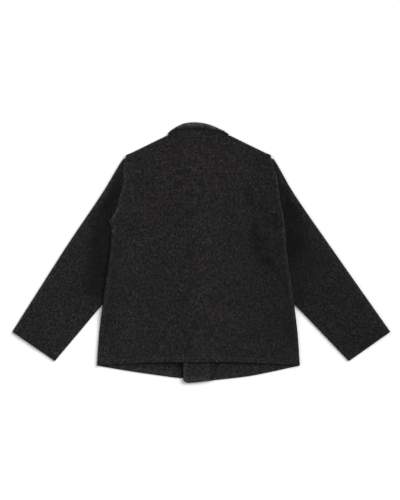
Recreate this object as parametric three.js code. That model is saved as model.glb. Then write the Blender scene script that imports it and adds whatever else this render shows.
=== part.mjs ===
// A naval deck jacket in heavy wool, buttoned up and laid face down on a flat surface.
// Millimetres, +Z up. The collar points along +Y, the back is on top, and the fronts lie on the
// surface at z = 0.
// The origin is on that surface, at the middle of the footprint.
// Each cloth piece is a height over the flat, made a wall by moving its points along their normals.
import * as THREE from "three";
import { mergeVertices } from "three/addons/utils/BufferGeometryUtils.js";

// Cloth and seams
const cloth = 2.2; // wool, one layer
const facingCloth = 1.6; // thinner wool of the front facing
const collarCloth = 4.4; // collar stand, two layers sewn as one
const half = cloth / 2;
const seamGap = 0.3; // clear space between neighbouring pieces
const layerGap = 0.45; // clear space between the overlapped fronts
const seamRidge = 0.9; // how far a topstitched seam stands up
const seamWidth = 10.5; // seam edge to its outer row of stitches
const hemTurn = 27; // depth of the turned-up hem
const hemBulk = 1.6; // thickness that the turned-up hem adds inside

// Where the body lies in the frame: the right sleeve reaches further out than the left
const centreBack = -8.7;

// Outline of the body, measured from the centre back line
const hemCornerY = -339;
const underarmY = 80;
const shoulderTip = { x: 217, y: 291 };
const neckPoint = { x: 94.5, y: 351 };
const sideRows = [
  { y: hemCornerY, half: 303.8 },
  { y: -232, half: 296 },
  { y: -85, half: 276.5 },
  { y: 20, half: 262 },
  { y: underarmY, half: 260.2 },
];
const armholeRows = [
  { y: underarmY, half: 260.2 },
  { y: 98, half: 259.6 },
  { y: 122, half: 253.5 },
  { y: 170, half: 240 },
  { y: 218, half: 231 },
  { y: 262, half: 226 },
  { y: shoulderTip.y, half: shoulderTip.x },
];
const backHem = { centreY: -328, drop: 11, power: 2.4 };
const frontNeck = { lowY: 262, power: 3 };

// Collar stand: the seam and the top edge that show behind the back neck
const collarRows = [
  { x: -94.5, seam: 351, top: 351 },
  { x: -82, seam: 361.5, top: 366.5 },
  { x: -60, seam: 369.5, top: 381.5 },
  { x: -35, seam: 372, top: 390 },
  { x: -5, seam: 372.5, top: 391.5 },
  { x: 25, seam: 370.5, top: 387 },
  { x: 55, seam: 365, top: 376 },
  { x: 80, seam: 357, top: 363 },
  { x: 94.5, seam: 351, top: 351 },
];
const collar = {
  left: -81.5,
  right: 78,
  foldInset: 6.5, // the side folds stand this far inside the neck points
  foldSpread: 3, // the folds run slanting to the seam, so the cloth turns down over a longer way along it
  frontLow: 300,
  endX: -8,
  endGap: 7,
  roll: 2.8,
  crown: 4,
  groove: 0.9,
};

// Fronts: the wearer's left front is outside, so it lies lowest here
const leftFront = {
  edgeX: 30,
  hem: [
    { x: -303.8, y: hemCornerY },
    { x: -225, y: -352.5 },
    { x: -145, y: -364.5 },
    { x: -50, y: -377 },
    { x: 30, y: -383 },
  ],
};
const rightFront = {
  edgeX: -46,
  hem: [
    { x: -46, y: -382 },
    { x: -41, y: -387.6 },
    { x: -31, y: -391 },
    { x: 46, y: -383 },
    { x: 149, y: -371 },
    { x: 212, y: -359 },
    { x: 267, y: -347 },
    { x: 303.8, y: hemCornerY },
  ],
};
const facing = { edgeX: -45.5, innerX: 36, hemInset: 0.6 };
const button = { count: 5, top: 232, pitch: 115, radius: 11.5, thickness: 2.6, dish: 0.6 };

// Height of the folded edges and of what lies between them
const sideRoll = 2.9; // radius of the folded edge at the sides and shoulders
const backLevel = 5.4; // middle of the cloth of the back, where it sags between its edges
const neckLevel = 6; // the same, over the front of the collar
const placketLift = 3.2; // how much the back rises over the overlapped fronts
const sleeveLift = 6.3; // how much the body's edge rises where it lies on a sleeve

// Sleeves
const sleeve = { outerRoll: 2.9, innerRoll: 1.8, sag: 0.6 };
const tuckRows = [
  { y: underarmY, inset: -2.8 },
  { y: 60, inset: -3.2 },
  { y: 38, inset: -2.8 },
  { y: 0, inset: 13 },
  { y: -60, inset: 20 },
  { y: -125, inset: 15 },
  { y: -152, inset: -1 },
];
// Rows across a sleeve below the armhole, by height along its inner edge
const innerStops = [60, 38, 18, -2, -30, -62, -94, -125, -152, -192, -236, -282];
const sleeveTop = 281; // highest row of a sleeve, just below the shoulder
const crotchY = -152; // where the sleeve's inner edge comes out from under the body
const sleeves = {
  left: {
    side: -1,
    cuffOuter: { x: 558, y: -238 },
    cuffInner: { x: 432, y: -325 },
    bow: [
      { along: 0, out: 0 },
      { along: 0.04, out: 1.2 },
      { along: 0.2, out: -2.2 },
      { along: 0.5, out: 1.6 },
      { along: 1, out: 0 },
    ],
  },
  right: {
    side: 1,
    cuffOuter: { x: 575.5, y: -238 },
    cuffInner: { x: 452.5, y: -325 },
    bow: [
      { along: 0, out: 0 },
      { along: 0.04, out: 0.6 },
      { along: 0.2, out: -7 },
      { along: 0.5, out: -5.5 },
      { along: 1, out: 0 },
    ],
  },
};

// Soft folds of the back, each a line with a width and a height
const folds = [
  { from: [148, 190], to: [190, -60], width: 24, height: -1.4 },
  { from: [196, 160], to: [238, -20], width: 24, height: 1.6 },
  { from: [238, -120], to: [250, -300], width: 24, height: -1.2 },
  { from: [-232, 60], to: [-150, 10], width: 26, height: 1.5 },
  { from: [-190, -40], to: [-225, -260], width: 28, height: 1.2 },
];

// Rows of every body panel, by height along the side and the armhole. Layers and neighbours share them,
// so that their flat facets keep the same distance
const sideStops = [-300, -262, -222, -182, -145, -106, -64, -24, 12, 38, 60];
const armholeStops = [underarmY, 83.4, 91, 106, 130, 158, 188, 220, 250, 274];
// Columns of the back and of the collar, as distances from the centre along the neck
const neckStops = [neckPoint.x, 91.4, 84, 72, 56, 36, 12];
// Columns where the fronts overlap
const overlapStops = [-46, -41, -34, -23.5, -12.5, 0, 12.5, 23.5, 30];

// Small helpers
const clamp = (v, low, high) => Math.min(high, Math.max(low, v));
const mix = (a, b, t) => a + (b - a) * t;

function ease(from, to, v) {
  const t = clamp((v - from) / (to - from), 0, 1);
  return t * t * (3 - 2 * t);
}

// Reads a table as a smooth curve of one column over another
function curveOf(rows, over, column) {
  const up = rows[0][over] < rows[rows.length - 1][over];
  const sorted = up ? rows : [...rows].reverse();
  const slope = (i) => {
    const a = sorted[Math.max(0, i - 1)];
    const b = sorted[Math.min(sorted.length - 1, i + 1)];
    return (b[column] - a[column]) / (b[over] - a[over]);
  };
  return (value) => {
    const v = clamp(value, sorted[0][over], sorted[sorted.length - 1][over]);
    let i = 0;
    while (i < sorted.length - 2 && v > sorted[i + 1][over]) i += 1;
    const span = sorted[i + 1][over] - sorted[i][over];
    const t = (v - sorted[i][over]) / span;
    const t2 = t * t;
    const t3 = t2 * t;
    return (
      sorted[i][column] * (2 * t3 - 3 * t2 + 1) +
      slope(i) * span * (t3 - 2 * t2 + t) +
      sorted[i + 1][column] * (3 * t2 - 2 * t3) +
      slope(i + 1) * span * (t3 - t2)
    );
  };
}

// Outline curves of the body
const sideHalf = curveOf(sideRows, "y", "half");
const armholeHalf = curveOf(armholeRows, "y", "half");
const bodyHalf = (y) => (y < underarmY ? sideHalf(y) : armholeHalf(y));
const collarSeam = curveOf(collarRows, "x", "seam");
const collarTop = curveOf(collarRows, "x", "top");
const tuck = curveOf(tuckRows, "y", "inset");

function backHemY(x) {
  return backHem.centreY - backHem.drop * Math.abs(x / sideRows[0].half) ** backHem.power;
}

function shoulderY(x) {
  const t = (Math.abs(x) - neckPoint.x) / (shoulderTip.x - neckPoint.x);
  return mix(neckPoint.y, shoulderTip.y, t);
}

function frontNeckY(x) {
  const share = Math.abs(x / neckPoint.x) ** frontNeck.power;
  return frontNeck.lowY + (neckPoint.y - frontNeck.lowY) * share;
}

// Distance from the side fold or its upper end, and the direction straight away from it
function fromSide(x, y) {
  const away = { x: -Math.sign(x), y: 0 };
  const across = sideHalf(y) - Math.abs(x);
  if (y <= underarmY) return { d: Math.max(0, across), ...away };
  const reach = Math.hypot(across, y - underarmY);
  return { d: reach, x: (away.x * across) / reach, y: (y - underarmY) / reach };
}

// The same from the shoulder fold
function fromShoulder(x, y) {
  const run = { x: shoulderTip.x - neckPoint.x, y: shoulderTip.y - neckPoint.y };
  const length = Math.hypot(run.x, run.y);
  const px = Math.abs(x) - neckPoint.x;
  const py = y - neckPoint.y;
  const t = clamp((px * run.x + py * run.y) / (length * length), 0, 1);
  const gap = { x: px - run.x * t, y: py - run.y * t };
  const d = Math.hypot(gap.x, gap.y);
  const inward = { x: run.y / length, y: -run.x / length };
  const unit = d > 0.01 ? { x: gap.x / d, y: gap.y / d } : inward;
  return { d, x: unit.x * (Math.sign(x) || 1), y: unit.y };
}

// A folded edge: how far the cloth has turned down at a distance from it, and how steeply
function turned(distance, radius) {
  if (distance >= radius) return { drop: 0, slope: 0 };
  const up = Math.sqrt(Math.max(radius ** 2 - (radius - distance) ** 2, 1e-6));
  return { drop: radius - up, slope: (radius - distance) / up };
}

// Rise of the body's side where it lies over a sleeve
function overSleeve(x, y) {
  const rows = ease(underarmY, 38, y) * ease(-240, -160, y);
  const inward = bodyHalf(y) - Math.abs(x);
  return sleeveLift * rows * (1 - ease(30, 100, inward));
}

function softFolds(x, y) {
  return folds.reduce((sum, fold) => {
    const run = [fold.to[0] - fold.from[0], fold.to[1] - fold.from[1]];
    const length2 = run[0] ** 2 + run[1] ** 2;
    const t = ((x - fold.from[0]) * run[0] + (y - fold.from[1]) * run[1]) / length2;
    const near = clamp(t, 0, 1);
    const dx = x - fold.from[0] - run[0] * near;
    const dy = y - fold.from[1] - run[1] * near;
    const ends = ease(-0.25, 0.35, t) * (1 - ease(0.65, 1.25, t));
    return sum + fold.height * ends * Math.exp(-(dx * dx + dy * dy) / (2 * fold.width ** 2));
  }, 0);
}

// Ridge of the cloth over the row of buttons
const lastButtonY = button.top - button.pitch * (button.count - 1);

function overButtons(x, y) {
  const along = ease(lastButtonY - 104, lastButtonY - 15, y);
  return (button.thickness + seamGap) * along * (1 - ease(13, 34, Math.abs(x)));
}

// Height of the middle of the cloth, for each layer, without the folded edges
function leftFrontLevel(x, y) {
  return half + overSleeve(x, y) + overButtons(x, y);
}

function rightFrontLevel(x, y) {
  const stack = cloth + layerGap + (hemBulk + 0.1) * (1 - ease(-342, -308, y));
  const onTop = 1 - ease(leftFront.edgeX + 1.5, leftFront.edgeX + 22, x);
  return half + overSleeve(x, y) + stack * onTop + overButtons(x, y);
}

function backLevelAt(x, y) {
  const { side, shoulder } = edges(x, y);
  const nearest = Math.min(side.d, shoulder.d);
  const edgeLevel = half + 2 * sideRoll + seamGap;
  const inner = ease(12, 105, nearest);
  const neck = ease(225, 300, y) * (1 - ease(60, 130, Math.abs(x)));
  const level = mix(edgeLevel, mix(backLevel, neckLevel, neck), inner);
  const belowNeck = 1 - ease(262, 330, y);
  const placket = placketLift * (1 - ease(43, 84, Math.abs(x + 5))) + 3 * (1 - ease(15, 44, Math.abs(x)));
  const hem = (1 - ease(30, 70, y - backHemY(x))) * ease(14, 70, nearest) * hemBulk;
  return level + overSleeve(x, y) + placket * belowNeck + hem + softFolds(x, y);
}

function edges(x, y) {
  return { side: fromSide(x, y), shoulder: fromShoulder(x, y) };
}

// A point on a body layer: place, normal pointing up, and how the folded edges turn it.
// turn is -1 where the edges go down, as on the back, and 1 where they go up
function bodyPoint(x, y, level, turn) {
  const step = 0.5;
  const z = level(x, y);
  let slopeX = (level(x + step, y) - level(x - step, y)) / (2 * step);
  let slopeY = (level(x, y + step) - level(x, y - step)) / (2 * step);
  let height = z;
  for (const edge of Object.values(edges(x, y))) {
    const roll = turned(edge.d, sideRoll);
    height += turn * roll.drop;
    slopeX -= turn * roll.slope * edge.x;
    slopeY -= turn * roll.slope * edge.y;
  }
  const normal = new THREE.Vector3(-slopeX, -slopeY, 1).normalize();
  return { at: new THREE.Vector3(x, y, height), normal };
}

// A patch between four plan curves, by Coons' formula
function patch(bottom, top, left, right) {
  return (u, v) => {
    const corners = [bottom(0), bottom(1), top(0), top(1)];
    const [b, t, l, r] = [bottom(u), top(u), left(v), right(v)];
    const place = (k) =>
      mix(b[k], t[k], v) +
      mix(l[k], r[k], u) -
      mix(mix(corners[0][k], corners[1][k], u), mix(corners[2][k], corners[3][k], u), v);
    return { x: place("x"), y: place("y") };
  };
}

// Makes a wall from rows of points. Each point has a place, a normal and how thick the wall is on both sides.
// Rows from closedFrom on are rings, whose first and last points are the same
function wall(rows, closedFrom = rows.length) {
  const count = rows[0].length;
  const points = [];
  const faces = [];
  rows.forEach((row) =>
    row.forEach((p) => {
      points.push(p.at.clone().addScaledVector(p.normal, p.above));
      points.push(p.at.clone().addScaledVector(p.normal, -p.below));
    }),
  );
  const index = (i, j, under) => 2 * (i * count + j) + under;
  const quad = (a, b, c, d) => faces.push(a, b, c, a, c, d);
  const last = rows.length - 1;
  const end = count - 1;
  for (let i = 0; i < last; i += 1)
    for (let j = 0; j < end; j += 1) {
      quad(index(i, j, 0), index(i, j + 1, 0), index(i + 1, j + 1, 0), index(i + 1, j, 0));
      quad(index(i, j, 1), index(i + 1, j, 1), index(i + 1, j + 1, 1), index(i, j + 1, 1));
    }
  for (let j = 0; j < end; j += 1) {
    quad(index(0, j, 1), index(0, j + 1, 1), index(0, j + 1, 0), index(0, j, 0));
    quad(index(last, j, 0), index(last, j + 1, 0), index(last, j + 1, 1), index(last, j, 1));
  }
  for (let i = 0; i < Math.min(last, closedFrom); i += 1) {
    quad(index(i, 0, 0), index(i + 1, 0, 0), index(i + 1, 0, 1), index(i, 0, 1));
    quad(index(i, end, 1), index(i + 1, end, 1), index(i + 1, end, 0), index(i, end, 0));
  }
  return geometryOf(points, faces);
}

// Indexed geometry with its faces turned outwards
function geometryOf(points, faces) {
  let volume = 0;
  for (let i = 0; i < faces.length; i += 3) {
    const [a, b, c] = [points[faces[i]], points[faces[i + 1]], points[faces[i + 2]]];
    volume += a.dot(b.clone().cross(c));
  }
  const outward = [];
  for (let i = 0; i < faces.length; i += 3) {
    const [a, b, c] = faces.slice(i, i + 3);
    outward.push(...(volume > 0 ? [a, b, c] : [a, c, b]));
  }
  const geometry = new THREE.BufferGeometry();
  geometry.setAttribute("position", new THREE.Float32BufferAttribute(points.flatMap((p) => p.toArray()), 3));
  geometry.setIndex(outward);
  const merged = mergeVertices(geometry, 1e-3);
  merged.computeVertexNormals();
  return merged;
}

// Steps in from the edges of a body panel: the folded edge, the stitched seam and the turned-up hem
const rollSteps = [0, 0.4, 1.5, sideRoll];
const ridgeSteps = [seamWidth - 1.2, seamWidth + 1.8];
const hemSteps = [0, hemTurn - 1.5, hemTurn + 1.5];

// Shares of a length at steps from its start or from its end
const fromStart = (steps, length) => steps.map((d) => d / length);
const fromEnd = (steps, length) => steps.map((d) => 1 - d / length).reverse();

// Shares of the rows of a body panel as tall as given
function bodyRows(height, hem = hemSteps) {
  const stops = [...sideStops, ...armholeStops];
  return [
    ...fromStart(hem, height),
    ...stops.map((y) => (y - hemCornerY) / (shoulderTip.y - hemCornerY)),
    ...fromEnd(rollSteps.map((d) => d / 0.9), height),
  ];
}

function panelRows(plan, columns, rows, pointAt) {
  return rows.map((v) => {
    const width = Math.abs(plan(1, v).x - plan(0, v).x);
    const row = columns(width).map((u) => {
      const p = plan(u, v);
      return pointAt(p.x, p.y);
    });
    return row[0].at.x < row[1].at.x ? row : row.reverse();
  });
}

const leftEdgeOf = (sign) => (v) => {
  const y = mix(hemCornerY, shoulderTip.y, v);
  return { x: sign * bodyHalf(y), y };
};

// Extra thickness of a topstitched seam along the side and the armhole
function ridgeAt(x, y) {
  const inward = bodyHalf(clamp(y, hemCornerY, shoulderTip.y)) - Math.abs(x);
  const atFold = mix(ease(0.4, 2.8, inward), 1, ease(underarmY, underarmY + 4, y));
  return seamRidge * atFold * (1 - ease(seamWidth - 1.2, seamWidth + 1.8, inward));
}

// Extra thickness of a turned-up hem, kept out of the folded side
function hemAt(x, y, hemY) {
  const inward = sideHalf(y) - Math.abs(x);
  return hemBulk * (1 - ease(hemTurn - 1.5, hemTurn + 1.5, y - hemY)) * ease(4, 9, inward);
}

function backPiece() {
  const plan = patch(
    (u) => {
      const x = mix(-sideRows[0].half, sideRows[0].half, u);
      return { x, y: backHemY(x) };
    },
    (u) => {
      const x = mix(-shoulderTip.x, shoulderTip.x, u);
      return { x, y: Math.abs(x) > neckPoint.x ? shoulderY(x) : collarSeam(x) };
    },
    leftEdgeOf(-1),
    leftEdgeOf(1),
  );
  const outer = [0.075, 0.14, 0.21];
  const neck = neckStops.map((x) => (shoulderTip.x - x) / (2 * shoulderTip.x));
  const shares = [...outer, ...neck];
  const edge = [...rollSteps, ...ridgeSteps];
  const columns = (width) => [
    ...fromStart(edge, width),
    ...shares,
    ...[...shares].reverse().map((u) => 1 - u),
    ...fromEnd(edge, width),
  ];
  return wall(
    panelRows(plan, columns, bodyRows(collarSeam(0) - backHem.centreY), (x, y) => ({
      ...bodyPoint(x, y, backLevelAt, -1),
      above: half + ridgeAt(x, y),
      below: half + hemAt(x, y, backHemY(x)),
    })),
  );
}

// One front. sign is -1 on the side of the left sleeve
function frontPiece(front, sign, level) {
  const hemY = curveOf(front.hem, "x", "y");
  const cornerX = sign * sideRows[0].half;
  const plan = patch(
    (u) => {
      const x = mix(cornerX, front.edgeX, u);
      return { x, y: hemY(x) };
    },
    (u) => {
      const x = mix(sign * shoulderTip.x, front.edgeX, u);
      const beyondNeck = sign * x > neckPoint.x;
      return { x, y: beyondNeck ? shoulderY(x) : frontNeckY(x) };
    },
    leftEdgeOf(sign),
    (v) => ({ x: front.edgeX, y: mix(hemY(front.edgeX), frontNeckY(front.edgeX), v) }),
  );
  const across = shoulderTip.x - sign * front.edgeX;
  const shares = [0.08, 0.165, 0.25];
  const neck = [neckPoint.x, 87, 78, 66].map((x) => (shoulderTip.x - x) / across);
  const inEdge = (x) => sign * (x - front.edgeX);
  const beyond = sign > 0 ? [42, 54] : [];
  const overlap = [...overlapStops, ...beyond].map(inEdge).sort((a, b) => a - b);
  const columns = (width) => [
    ...fromStart(rollSteps, width),
    ...shares,
    ...neck,
    ...fromEnd(overlap, width),
  ];
  return wall(
    panelRows(plan, columns, bodyRows(neckPoint.y - hemY(sign * neckPoint.x)), (x, y) => ({
      ...bodyPoint(x, y, level, 1),
      above: half + hemAt(x, y, hemY(x)),
      below: half,
    })),
  );
}

// The facing lies on the right front, over its turned-up hem
function facingPiece() {
  const hemY = curveOf(rightFront.hem, "x", "y");
  const lying = (x, y) => {
    const hem = hemBulk * (1 - ease(hemTurn + 0.5, hemTurn + 4, y - hemY(x)));
    const under = rightFrontLevel(x, y) + half + hem;
    return under + seamGap + facingCloth / 2;
  };
  const bottom = (x) => hemY(x) + facing.hemInset;
  const plan = patch(
    (u) => {
      const x = mix(facing.edgeX, facing.innerX, u);
      return { x, y: bottom(x) };
    },
    (u) => {
      const x = mix(facing.edgeX, facing.innerX, u);
      return { x, y: frontNeckY(x) };
    },
    (v) => ({ x: facing.edgeX, y: mix(bottom(facing.edgeX), frontNeckY(facing.edgeX), v) }),
    (v) => ({ x: facing.innerX, y: mix(bottom(facing.innerX), frontNeckY(facing.innerX), v) }),
  );
  const stops = [facing.edgeX, ...overlapStops.slice(1), facing.innerX];
  const columns = (width) => stops.map((x) => (x - facing.edgeX) / width);
  const height = neckPoint.y - hemY(neckPoint.x);
  return wall(
    panelRows(plan, columns, bodyRows(height, [0, hemTurn + 0.5, hemTurn + 4]), (x, y) => ({
      ...bodyPoint(x, y, lying, 0),
      above: facingCloth / 2,
      below: facingCloth / 2,
    })),
  );
}

// A sleeve: a flattened tube whose rows run square across it. Above the underarm it is open along the armhole
function sleevePiece({ side, cuffOuter, cuffInner, bow }) {
  const bowOut = curveOf(bow, "along", "out");
  const start = { x: shoulderTip.x + 1.5, y: shoulderTip.y - 1.5 };
  const run = { x: cuffOuter.x - start.x, y: cuffOuter.y - start.y };
  const length = Math.hypot(run.x, run.y);
  const outward = { x: -run.y / length, y: run.x / length };
  const crotch = { x: sideHalf(crotchY) - tuck(crotchY), y: crotchY };
  const outer = (s) => ({
    x: start.x + run.x * s + outward.x * bowOut(s),
    y: start.y + run.y * s + outward.y * bowOut(s),
  });
  const inner = (y) => {
    if (y > underarmY) return { x: armholeHalf(y) + 0.5 + 2.3 * (1 - ease(94, 138, y)), y };
    if (y > crotchY) return { x: sideHalf(y) - tuck(y), y };
    return { x: mix(crotch.x, cuffInner.x, (y - crotchY) / (cuffInner.y - crotchY)), y };
  };
  const shareOf = (p) => ((p.x - start.x) * run.x + (p.y - start.y) * run.y) / length ** 2;
  const endShare = shareOf(cuffInner);
  const underarm = inner(underarmY);

  const rowAt = (y) => {
    const from = inner(y);
    const to = outer(Math.max(0, shareOf(from) / endShare));
    const width = Math.hypot(to.x - from.x, to.y - from.y);
    const across = { x: (to.x - from.x) / width, y: (to.y - from.y) / width };
    const [high, lower] = [inner(y + 1), inner(y - 1)];
    const edge = Math.hypot(lower.x - high.x, lower.y - high.y);
    const inward = { x: (high.y - lower.y) / edge, y: (lower.x - high.x) / edge };
    const slant = Math.max(0.5, across.x * inward.x + across.y * inward.y);
    const closed = y <= underarmY;
    const outerBend = Math.min(sleeve.outerRoll, 0.45 * width);
    const innerBend = Math.min(sleeve.innerRoll / slant, 0.3 * width);
    const bend = [0, 0.134, 0.5, 1];
    const distances = [
      ...bend.map((k) => k * innerBend),
      ...[0.2, 0.4, 0.6, 0.8].map((k) => mix(innerBend, width - outerBend, k)),
      ...bend.map((k) => width - k * outerBend).reverse(),
    ];
    const pointAt = (d, upper) => {
      const p = { x: from.x + across.x * d, y: from.y + across.y * d };
      const near = closed ? d * slant : Math.hypot(p.x - underarm.x, p.y - underarm.y);
      const low = 1 - ease(28, 90, near);
      const sag = sleeve.sag * Math.sin((Math.PI * d) / width) * (1 - low);
      const gap = 2 * mix(sleeve.outerRoll, sleeve.innerRoll, low) - sag;
      const outerTurn = turned(width - d, outerBend);
      const innerTurn = closed ? turned(d * slant, innerBend * slant) : { drop: 0, slope: 0 };
      const onFold = closed && d === 0;
      const share = onFold ? 1 : outerTurn.drop / outerBend + innerTurn.drop / (innerBend * slant);
      const lean = [
        ((gap / 2) * outerTurn.slope) / outerBend,
        ((gap / 2) * innerTurn.slope) / (innerBend * slant),
      ];
      const tilt = {
        x: outward.x * lean[0] - inward.x * lean[1],
        y: outward.y * lean[0] - inward.y * lean[1],
      };
      const up = onFold ? 0 : upper ? 1 : -1;
      return {
        at: new THREE.Vector3(side * p.x, p.y, half + (upper ? gap * (1 - share / 2) : (gap * share) / 2)),
        normal: new THREE.Vector3(side * tilt.x, tilt.y, up).normalize(),
        above: half,
        below: half,
      };
    };
    return [
      ...distances.map((d) => pointAt(d, true)),
      ...distances.slice(0, -1).reverse().map((d) => pointAt(d, false)),
    ];
  };
  const stops = [sleeveTop, ...[...armholeStops].reverse(), ...innerStops, cuffInner.y];
  return wall(stops.map(rowAt), stops.indexOf(underarmY));
}

// The collar stand: a flattened ring, open at the centre front.
// Its back half curves up and over from the neck seam, its front half lies on the surface
function collarPiece() {
  const inset = collarCloth / 2;
  const heights = [0, 0.07, 0.2, 0.45, 0.7, 0.88, 1];
  const frontLevel = inset;
  const sideLevel = frontLevel + 2 * collar.roll;
  const foldAt = (sign, h) => {
    const top = sign < 0 ? collar.left + inset : collar.right - inset;
    return mix(sign * (neckPoint.x - collar.foldInset), top, h);
  };
  const footY = (x) => collarSeam(x) + collar.groove * mix(1, 1.9, ease(60, 82, Math.abs(x)));
  const backY = (x, h) => mix(footY(x), collarTop(x) - 0.5, h);
  const frontY = (x, h, sign) => {
    const fold = foldAt(sign, h);
    const share = Math.abs(x / fold) ** frontNeck.power;
    return mix(mix(frontNeck.lowY + 0.6, collar.frontLow, h), backY(fold, h), share);
  };
  const depthShare = (x) => clamp((collarTop(x) - collarSeam(x)) / 18, 0, 1);
  const backLevelOf = (x, h) => {
    const inner = ease(4, 50, neckPoint.x - Math.abs(x));
    const crown = collar.crown * depthShare(x) * Math.sin(Math.PI * ease(-0.02, 1.1, h)) * inner;
    return mix(sideLevel, neckLevel, inner) + crown;
  };
  const leanOf = (x, h) => {
    if (h === 0) return 0;
    const [low, high] = [h - 0.05, Math.min(1, h + 0.05)];
    const run = Math.max(backY(x, high) - backY(x, low), 0.3);
    return ((backLevelOf(x, high) - backLevelOf(x, low)) / run) * depthShare(x);
  };
  // Direction straight out of each side fold
  const outOf = (sign) => {
    const run = {
      x: foldAt(sign, 1) - foldAt(sign, 0),
      y: backY(foldAt(sign, 1), 1) - backY(foldAt(sign, 0), 0),
    };
    const length = Math.hypot(run.x, run.y);
    return { x: (sign * run.y) / length, y: (-sign * run.x) / length };
  };
  const bend = [0, 0.134, 0.5, 1];
  const frontShares = [0, 0.25, 0.5, 0.68, 0.82, 0.92];
  const grid = heights.map((h) => {
    const left = foldAt(-1, h);
    const right = foldAt(1, h);
    const rim = (x, upper) => {
      const sign = x < collar.endX ? -1 : 1;
      const inward = Math.abs(x - (sign < 0 ? left : right));
      const roll = turned(inward / (upper ? collar.foldSpread : 1), collar.roll);
      const out = outOf(sign);
      const y = upper ? backY(x, h) : frontY(x, h, sign);
      const z = upper ? backLevelOf(x, h) - roll.drop : frontLevel + roll.drop;
      const lean = upper ? -leanOf(x, h) : 0;
      const tilt = { x: out.x * roll.slope, y: out.y * roll.slope + lean };
      const normal = new THREE.Vector3(tilt.x, tilt.y, upper ? 1 : -1).normalize();
      const thick = h === 1 ? 0.55 * inset : inset;
      return { at: new THREE.Vector3(x, y, z), normal, above: thick, below: thick };
    };
    const spread = collar.roll * collar.foldSpread;
    const rightFold = bend.map((k) => right - k * collar.roll);
    const leftFold = bend.map((k) => left + k * collar.roll);
    const stops = neckStops.filter((x) => x < foldAt(1, 0) - spread).map((x) => x / foldAt(1, 0));
    const frontHalf = (sign, fold) => {
      const end = collar.endX + (sign * collar.endGap) / 2;
      return frontShares.map((t) => rim(mix(end, fold[3], t), false));
    };
    return [
      ...frontHalf(1, rightFold),
      ...rightFold.slice(1).reverse().map((x) => rim(x, false)),
      ...bend.map((k) => rim(right - k * spread, true)),
      ...stops.map((k) => rim(k * right, true)),
      ...[...stops].reverse().map((k) => rim(k * left, true)),
      ...[...bend].reverse().map((k) => rim(left + k * spread, true)),
      ...leftFold.slice(1).map((x) => rim(x, false)),
      ...frontHalf(-1, leftFold).reverse(),
    ];
  });
  return wall(grid);
}

// A sewn button, face down: a disc with a raised rim
function buttonPiece() {
  const { radius, thickness, dish } = button;
  const rim = 2.4;
  const profile = [
    new THREE.Vector2(0, dish),
    new THREE.Vector2(radius - rim, dish),
    new THREE.Vector2(radius - rim + 0.6, 0),
    new THREE.Vector2(radius - 0.7, 0),
    new THREE.Vector2(radius, 0.8),
    new THREE.Vector2(radius - 0.4, thickness),
    new THREE.Vector2(0, thickness),
  ];
  const turnedShape = new THREE.LatheGeometry(profile, 12);
  turnedShape.deleteAttribute("normal");
  turnedShape.deleteAttribute("uv");
  turnedShape.rotateX(Math.PI / 2);
  return mergeVertices(turnedShape, 1e-4);
}

const wool = new THREE.MeshStandardMaterial({ color: 0x262425, roughness: 0.95, metalness: 0 });
const facingWool = new THREE.MeshStandardMaterial({ color: 0x2a2829, roughness: 0.93, metalness: 0 });
const horn = new THREE.MeshStandardMaterial({ color: 0x1b1817, roughness: 0.35, metalness: 0 });

function piece(name, geometry, material) {
  const mesh = new THREE.Mesh(geometry, material);
  mesh.name = name;
  return mesh;
}

const jacket = new THREE.Group();
jacket.add(piece("back", backPiece(), wool));
jacket.add(piece("front_left", frontPiece(leftFront, -1, leftFrontLevel), wool));
jacket.add(piece("front_right", frontPiece(rightFront, 1, rightFrontLevel), wool));
jacket.add(piece("facing_right", facingPiece(), facingWool));
jacket.add(piece("sleeve_left", sleevePiece(sleeves.left), wool));
jacket.add(piece("sleeve_right", sleevePiece(sleeves.right), wool));
jacket.add(piece("collar", collarPiece(), wool));
for (let i = 0; i < button.count; i += 1) {
  const sewn = piece(`button_${i + 1}`, buttonPiece(), horn);
  sewn.position.set(0, button.top - i * button.pitch, 0);
  jacket.add(sewn);
}
jacket.position.x = centreBack;

export default jacket;
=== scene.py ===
import math

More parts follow.
